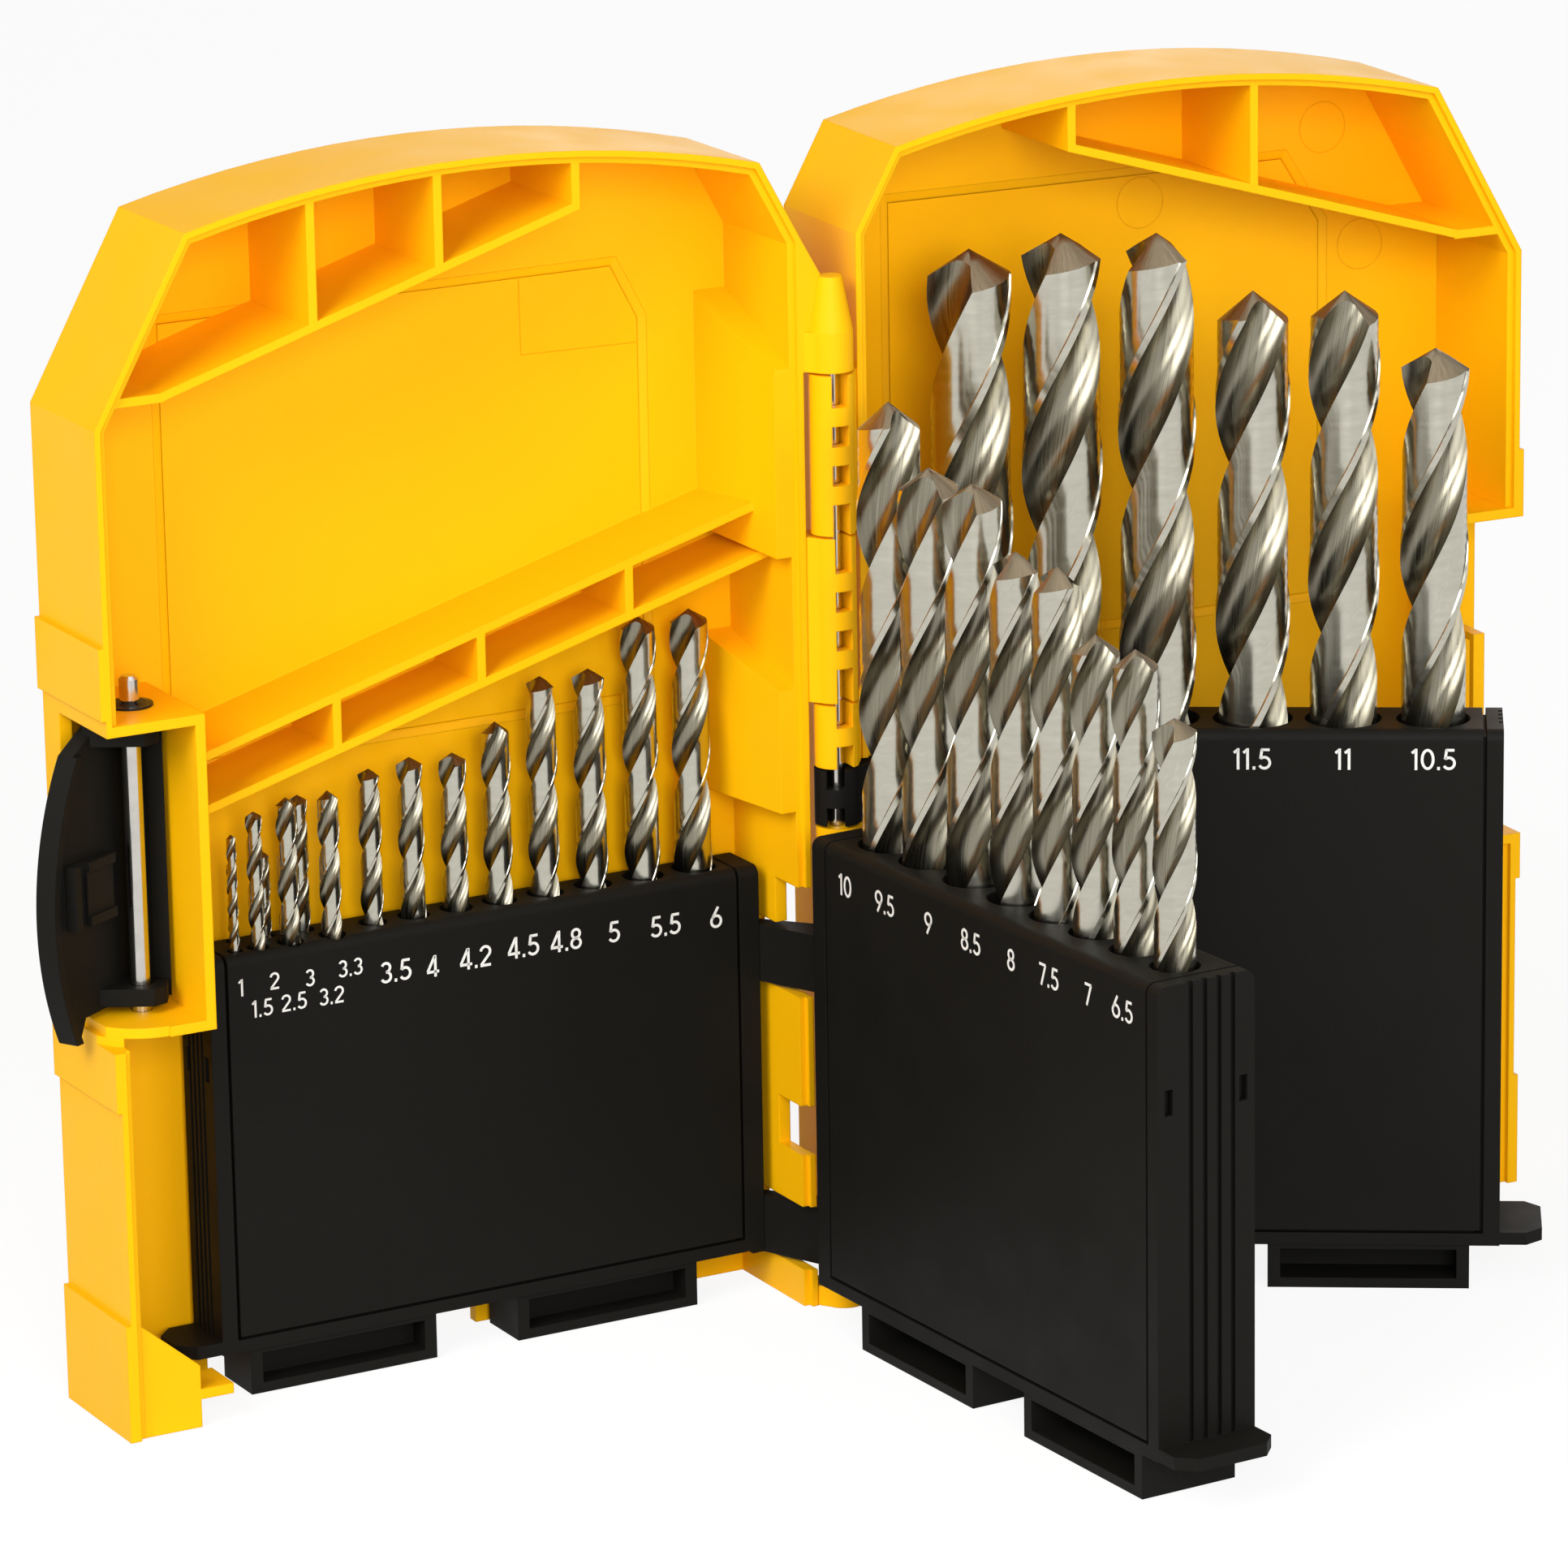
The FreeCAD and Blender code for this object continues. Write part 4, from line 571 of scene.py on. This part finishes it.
# %% Stand the 29 drills in their sockets
SIZES = (
    ("1_0", 12.0), ("1_5", 18.0), ("2_0", 24.0), ("2_5", 30.0), ("3_0", 33.0), ("3_2", 36.0),
    ("3_3", 36.0), ("3_5", 39.0), ("4_0", 43.0), ("4_2", 43.0), ("4_5", 47.0), ("4_8", 52.0),
    ("5_0", 52.0), ("5_5", 57.0), ("6_0", 57.0), ("6_5", 63.0), ("7_0", 69.0), ("7_5", 69.0),
    ("8_0", 75.0), ("8_5", 75.0), ("9_0", 81.0), ("9_5", 81.0), ("10_0", 87.0),
    ("10_5", 87.0), ("11_0", 94.0), ("11_5", 94.0), ("12_0", 101.0), ("12_5", 101.0),
    ("13_0", 101.0),
)
TURN_STEP = 47
HALF_TURN = 180
LARGEST = (("left_holder", 6), ("middle_holder", 10), ("right_holder", 13))
for order, (size, flutes) in enumerate(SIZES):
    low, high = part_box(f"bit_{size}")
    diameter = float(size.replace("_", "."))
    length = (high.z - low.z) / MM
    body = next(holder for holder, largest in LARGEST if diameter <= largest)
    start = math.radians((order * TURN_STEP) % HALF_TURN + TURNED[body])
    mesh = drill_mesh(f"twist_drill_{size}", diameter, length, flutes, start)
    drill = link(f"twist_drill_{size}", mesh)
    drill.location = ((low.x + high.x) / 2, (low.y + high.y) / 2, low.z)
    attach(drill, f"loose_bit_{size}")
    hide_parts(f"bit_{size}")
print("drills", len(SIZES))

# %% [markdown]
# ## Printed numbers
#
# Each socket has its drill size in white at the top of the holder, pad printed after moulding in
# plain round digits of one line width. A ready typeface would do, but its figure one has no flag.
# So each digit is drawn as a few lines and arcs, as a lettering stencil is, and every line becomes
# a flat ribbon a few hundredths thick, like real ink.

# %% The ink
white_ink, tree = new_material("white_pad_printing_ink")
where = add(tree, "ShaderNodeTexCoord").outputs["Object"]
mottle = add(tree, "ShaderNodeTexNoise", {"Vector": where, "Scale": per_metre(0.7), "Detail": 2.0})
ink_bump = add(tree, "ShaderNodeBump", {"Height": mottle.outputs["Fac"], "Strength": 0.5,
                                        "Distance": 0.01 * MM})
shade(tree, add(tree, "ShaderNodeBsdfPrincipled", {
    "Base Color": blend(tree, mottle.outputs["Fac"], "#F2F1EC", "#DAD8D2"),
    "Roughness": 0.5, "IOR": 1.48, "Normal": ink_bump.outputs[0]}))
print("ink", white_ink.name)

# %% Digits one unit high, as lines and arcs
ARC_STEP = 15


def arc(x, y, wide, tall, start, end):
    """Points along part of an oval, from one angle to the other, in degrees."""
    steps = max(2, round(abs(end - start) / ARC_STEP))
    turns = [math.radians(start + (end - start) * step / steps) for step in range(steps + 1)]
    return [(x + wide * math.cos(turn), y + tall * math.sin(turn)) for turn in turns]


DIGITS = {
    "0": (0.63, [arc(0.315, 0.5, 0.25, 0.435, 0, 360)]),
    "1": (0.33, [[(0.03, 0.79), (0.2, 0.93)], [(0.22, 0), (0.22, 1)]]),
    "2": (0.6, [arc(0.29, 0.7, 0.235, 0.235, 170, -38) + [(0.07, 0.1)],
                [(0.03, 0.065), (0.55, 0.065)]]),
    "3": (0.57, [arc(0.27, 0.725, 0.205, 0.21, 155, -90),
                 arc(0.27, 0.29, 0.23, 0.225, 90, -155)]),
    "4": (0.62, [[(0.42, 0), (0.42, 1)], [(0.4, 0.97), (0.04, 0.28)], [(0.0, 0.24), (0.6, 0.24)]]),
    "5": (0.59, [[(0.14, 0.935), (0.52, 0.935)], [(0.17, 0.95), (0.11, 0.51)],
                 arc(0.28, 0.325, 0.25, 0.26, 133, -150)]),
    "6": (0.6, [arc(0.3, 0.325, 0.25, 0.26, 0, 360), [(0.41, 1.0), (0.09, 0.45)]]),
    "7": (0.55, [[(0.03, 0.935), (0.52, 0.935)], [(0.5, 0.93), (0.17, 0)]]),
    "8": (0.59, [arc(0.29, 0.73, 0.195, 0.205, 0, 360), arc(0.29, 0.29, 0.23, 0.225, 0, 360)]),
    "9": (0.6, [arc(0.3, 0.675, 0.25, 0.26, 0, 360), [(0.19, 0.0), (0.51, 0.55)]]),
    ".": (0.17, [[(0.08, 0.0), (0.08, 0.15)]]),
}
LINE = 0.125
SPACE = 0.1
SAME_POINT = 1e-6


def ribbon(points, width):
    """Both edges of a line of that width, mitred at its corners, and whether it is a loop."""
    loop = math.dist(points[0], points[-1]) < SAME_POINT
    if loop:
        points = points[:-1]
    pairs = []
    last = len(points) - 1
    for index, (x, y) in enumerate(points):
        before = points[index - 1] if loop or index else points[index]
        after = points[(index + 1) % len(points)] if loop or index < last else points[index]
        along = Vector((after[0] - before[0], after[1] - before[1])).normalized()
        out = Vector((-along.y, along.x)) * width / 2
        pairs.append(((x + out.x, y + out.y), (x - out.x, y - out.y)))
    return pairs, loop


def write_number(words, height):
    """Ribbons of a whole number, centred, in millimetres."""
    pen = 0.0
    ribbons = []
    for letter in words:
        advance, lines = DIGITS[letter]
        for line in lines:
            pairs, loop = ribbon(line, LINE)
            ribbons.append(([[((x + pen) * height, y * height) for x, y in pair]
                             for pair in pairs], loop))
        pen += advance + SPACE
    middle = (pen - SPACE) * height / 2
    return [([[(x - middle, y - height / 2) for x, y in pair] for pair in pairs], loop)
            for pairs, loop in ribbons]


print("digits", len(DIGITS))

# %% Print the sizes on the hoods
INK_MM = 0.04
BIG = 3.4
SMALL = 2.7
LABELS = {
    "right_holder": (7.7, -1, (
        ("13", 20.4, 86.4, BIG), ("12.5", 34.5, 86.4, BIG), ("12", 49.1, 86.4, BIG),
        ("11.5", 63.8, 86.4, BIG), ("11", 77.8, 86.4, BIG), ("10.5", 91.7, 86.4, BIG))),
    "middle_holder": (-9.8, -1, (
        ("10", 17.9, 74.0, BIG), ("9.5", 29.2, 74.0, BIG), ("9", 41.5, 74.0, BIG),
        ("8.5", 53.2, 74.0, BIG), ("8", 64.2, 74.0, BIG), ("7.5", 74.3, 74.0, BIG),
        ("7", 84.7, 74.0, BIG), ("6.5", 93.6, 74.0, BIG))),
    "left_holder": (-10.4, 1, (
        ("1", 97.3, 64.9, SMALL), ("2", 91.7, 65.1, SMALL), ("3", 85.8, 64.6, SMALL),
        ("3.3", 79.0, 65.1, SMALL), ("3.5", 71.4, 63.3, BIG), ("4", 65.1, 63.0, BIG),
        ("4.2", 57.8, 63.2, BIG), ("4.5", 49.6, 63.6, BIG), ("4.8", 42.2, 63.4, BIG),
        ("5", 33.9, 63.4, BIG), ("5.5", 24.9, 63.0, BIG), ("6", 16.0, 62.8, BIG),
        ("1.5", 93.9, 61.2, SMALL), ("2.5", 88.6, 61.3, SMALL), ("3.2", 82.3, 61.2, SMALL))),
}


def strip_object(name, body, strips, face_y, facing, lift, finish):
    """Flat strips that stand a little proud of a face and reach as far into it."""
    verts = []
    faces = []
    matrix = placed(body)
    for pairs, loop in strips:
        base = len(verts)
        for pair in pairs:
            for u, z in pair:
                for out in (lift, -lift):
                    verts.append(matrix @ Vector((u, face_y + facing * out, z)))
        total = len(pairs)
        for index in range(total if loop else total - 1):
            a = base + 4 * index
            b = base + 4 * ((index + 1) % total)
            faces += [(a, a + 2, b + 2, b), (a + 1, b + 1, b + 3, a + 3),
                      (a, b, b + 1, a + 1), (a + 2, a + 3, b + 3, b + 2)]
        if not loop:
            end = base + 4 * (total - 1)
            faces += [(base, base + 1, base + 3, base + 2), (end, end + 2, end + 3, end + 1)]
    mesh = bpy.data.meshes.new(name)
    mesh.from_pydata([list(vert) for vert in verts], [], faces)
    mesh.materials.append(finish)
    made = link(name, mesh)
    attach(made, body)


for body, (face_y, facing, numbers) in LABELS.items():
    strips = []
    for words, u, z, height in numbers:
        for pairs, loop in write_number(words, height):
            strips.append(([[(u - facing * x, z + y) for x, y in pair] for pair in pairs], loop))
    strip_object(f"{body}_numbers", body, strips, face_y, facing, INK_MM, white_ink)
    print(body, "numbers", len(numbers))

# %% [markdown]
# ## What the mould leaves behind
#
# A moulded panel is never blank. Ejector pins push it out of the mould and leave faint rings, a
# tool insert leaves a hairline, and the shallow field in each back panel has a sloping border
# that catches the light. Rings and hairlines are strips like the numbers, only in yellow. The
# border is a wedge that runs round the field, mitred at its corners.

# %% Rings, hairlines and borders
RING_RADIUS = 4.1
RING_WIDTH = 0.22
RING_LIFT = 0.035
BORDER_WIDTH = 1.6
BORDER_SINK = 0.02
FIELDS = {
    "left_half": (-21.4, -21.8, ((20.2, 96.0), (103.0, 96.0), (103.0, 166.4), (25.2, 166.4),
                                 (20.2, 156.8))),
    "right_half": (23.4, 23.8, ((20.2, 96.0), (99.4, 96.0), (99.4, 158.8), (92.0, 170.5),
                                (20.2, 170.5))),
}
MARKS = (
    ("left_hairline", "left_half", -21.8, 1, (), (((41.7, 164.7), (41.6, 153.0), (22.0, 152.6)),)),
    ("right_ring_in_field", "right_half", 23.8, -1, ((65.9, 164.6),), ()),
    ("right_rings_by_latch", "right_half", 23.4, -1, ((98.5, 173.5), (105.4, 153.9)), ()),
)
for name, body, face_y, facing, rings, hairlines in MARKS:
    strips = [ribbon(arc(u, z, RING_RADIUS, RING_RADIUS, 0, 360), RING_WIDTH) for u, z in rings]
    strips += [ribbon(line, RING_WIDTH) for line in hairlines]
    strip_object(name, body, strips, face_y, facing, RING_LIFT, yellow_plastic)

for body, (panel_y, field_y, outline) in FIELDS.items():
    matrix = placed(body)
    sink = BORDER_SINK if field_y > panel_y else -BORDER_SINK
    verts = []
    for index, point in enumerate(outline):
        here = Vector(point)
        arriving = (here - Vector(outline[index - 1])).normalized()
        leaving = (Vector(outline[(index + 1) % len(outline)]) - here).normalized()
        normal = Vector((-arriving.y, arriving.x)) + Vector((-leaving.y, leaving.x))
        inner = here + normal * BORDER_WIDTH / (1 + arriving.dot(leaving))
        verts += [matrix @ Vector((here.x, panel_y, here.y)),
                  matrix @ Vector((inner.x, field_y + sink, inner.y)),
                  matrix @ Vector((here.x, field_y + sink, here.y))]
    faces = []
    for index in range(len(outline)):
        a = 3 * index
        b = 3 * ((index + 1) % len(outline))
        faces += [(a, b, b + 1, a + 1), (a + 1, b + 1, b + 2, a + 2), (a + 2, b + 2, b, a)]
    mesh = bpy.data.meshes.new(f"{body}_field_border")
    mesh.from_pydata([list(vert) for vert in verts], [], faces)
    mesh.materials.append(yellow_plastic)
    border = link(f"{body}_field_border", mesh)
    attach(border, body)
print("moulding marks", len(MARKS))

# %% [markdown]
# ## The push nut
#
# The latch pin is kept from dropping out by a push nut: a stamped disc of spring steel with
# slotted petals that bite into the pin. The disc is built as two skins, above and below, that run
# from the rim over a shallow dish to the tips of the petals, and draw back at each slot.

# %% Stamp the push nut
NUT_OUTER = 3.5
NUT_DISH = 2.75
NUT_TIP = 1.62
NUT_SLOT = 2.45
NUT_RISE = 0.62
NUT_SHEET = 0.35
NUT_BEND = 0.2
BEND_RISE = 0.05
DISH_RISE = 0.1
NUT_SHARP = math.radians(35)
PETALS = 6
PER_PETAL = 12
SLOT_COLUMNS = (0, 1)
low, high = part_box("latch_push_nut")
nut_x = (low.x + high.x) / 2 / MM
nut_y = (low.y + high.y) / 2 / MM
nut_z = low.z / MM
columns = PETALS * PER_PETAL
verts = []
for skin in (NUT_SHEET, 0.0):
    for column in range(columns):
        turn = 2 * math.pi * column / columns
        inner = NUT_SLOT if column % PER_PETAL in SLOT_COLUMNS else NUT_TIP
        rise = NUT_RISE * (NUT_DISH - inner) / (NUT_DISH - NUT_TIP)
        for reach, z in ((NUT_OUTER, 0.0), (NUT_DISH + NUT_BEND, BEND_RISE),
                         (NUT_DISH, DISH_RISE), (inner, rise)):
            verts.append(((nut_x + reach * math.cos(turn)) * MM,
                          (nut_y + reach * math.sin(turn)) * MM, (nut_z + z + skin) * MM))
faces = []
under = 4 * columns
for column in range(columns):
    a = 4 * column
    b = 4 * ((column + 1) % columns)
    for step in range(3):
        near, far = a + step, b + step
        faces.append((near, far, far + 1, near + 1))
        faces.append((under + near, under + near + 1, under + far + 1, under + far))
    faces.append((a, under + a, under + b, b))
    faces.append((a + 3, b + 3, under + b + 3, under + a + 3))
mesh = bpy.data.meshes.new("push_nut")
mesh.from_pydata(verts, [], faces)
mesh.materials.append(spring_steel)
mesh.shade_smooth()
mesh.set_sharp_from_angle(angle=NUT_SHARP)
nut = link("push_nut", mesh)
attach(nut, "left_half")
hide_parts("latch_push_nut")
print("push nut", columns, "columns")

# %% [markdown]
# ## The size of the dressed case
#
# The corners of the box round every shown piece, floor and cards left out, are measured.
# The dressed case may not grow past the CAD box.

# %% Measure the dressed case
low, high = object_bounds()
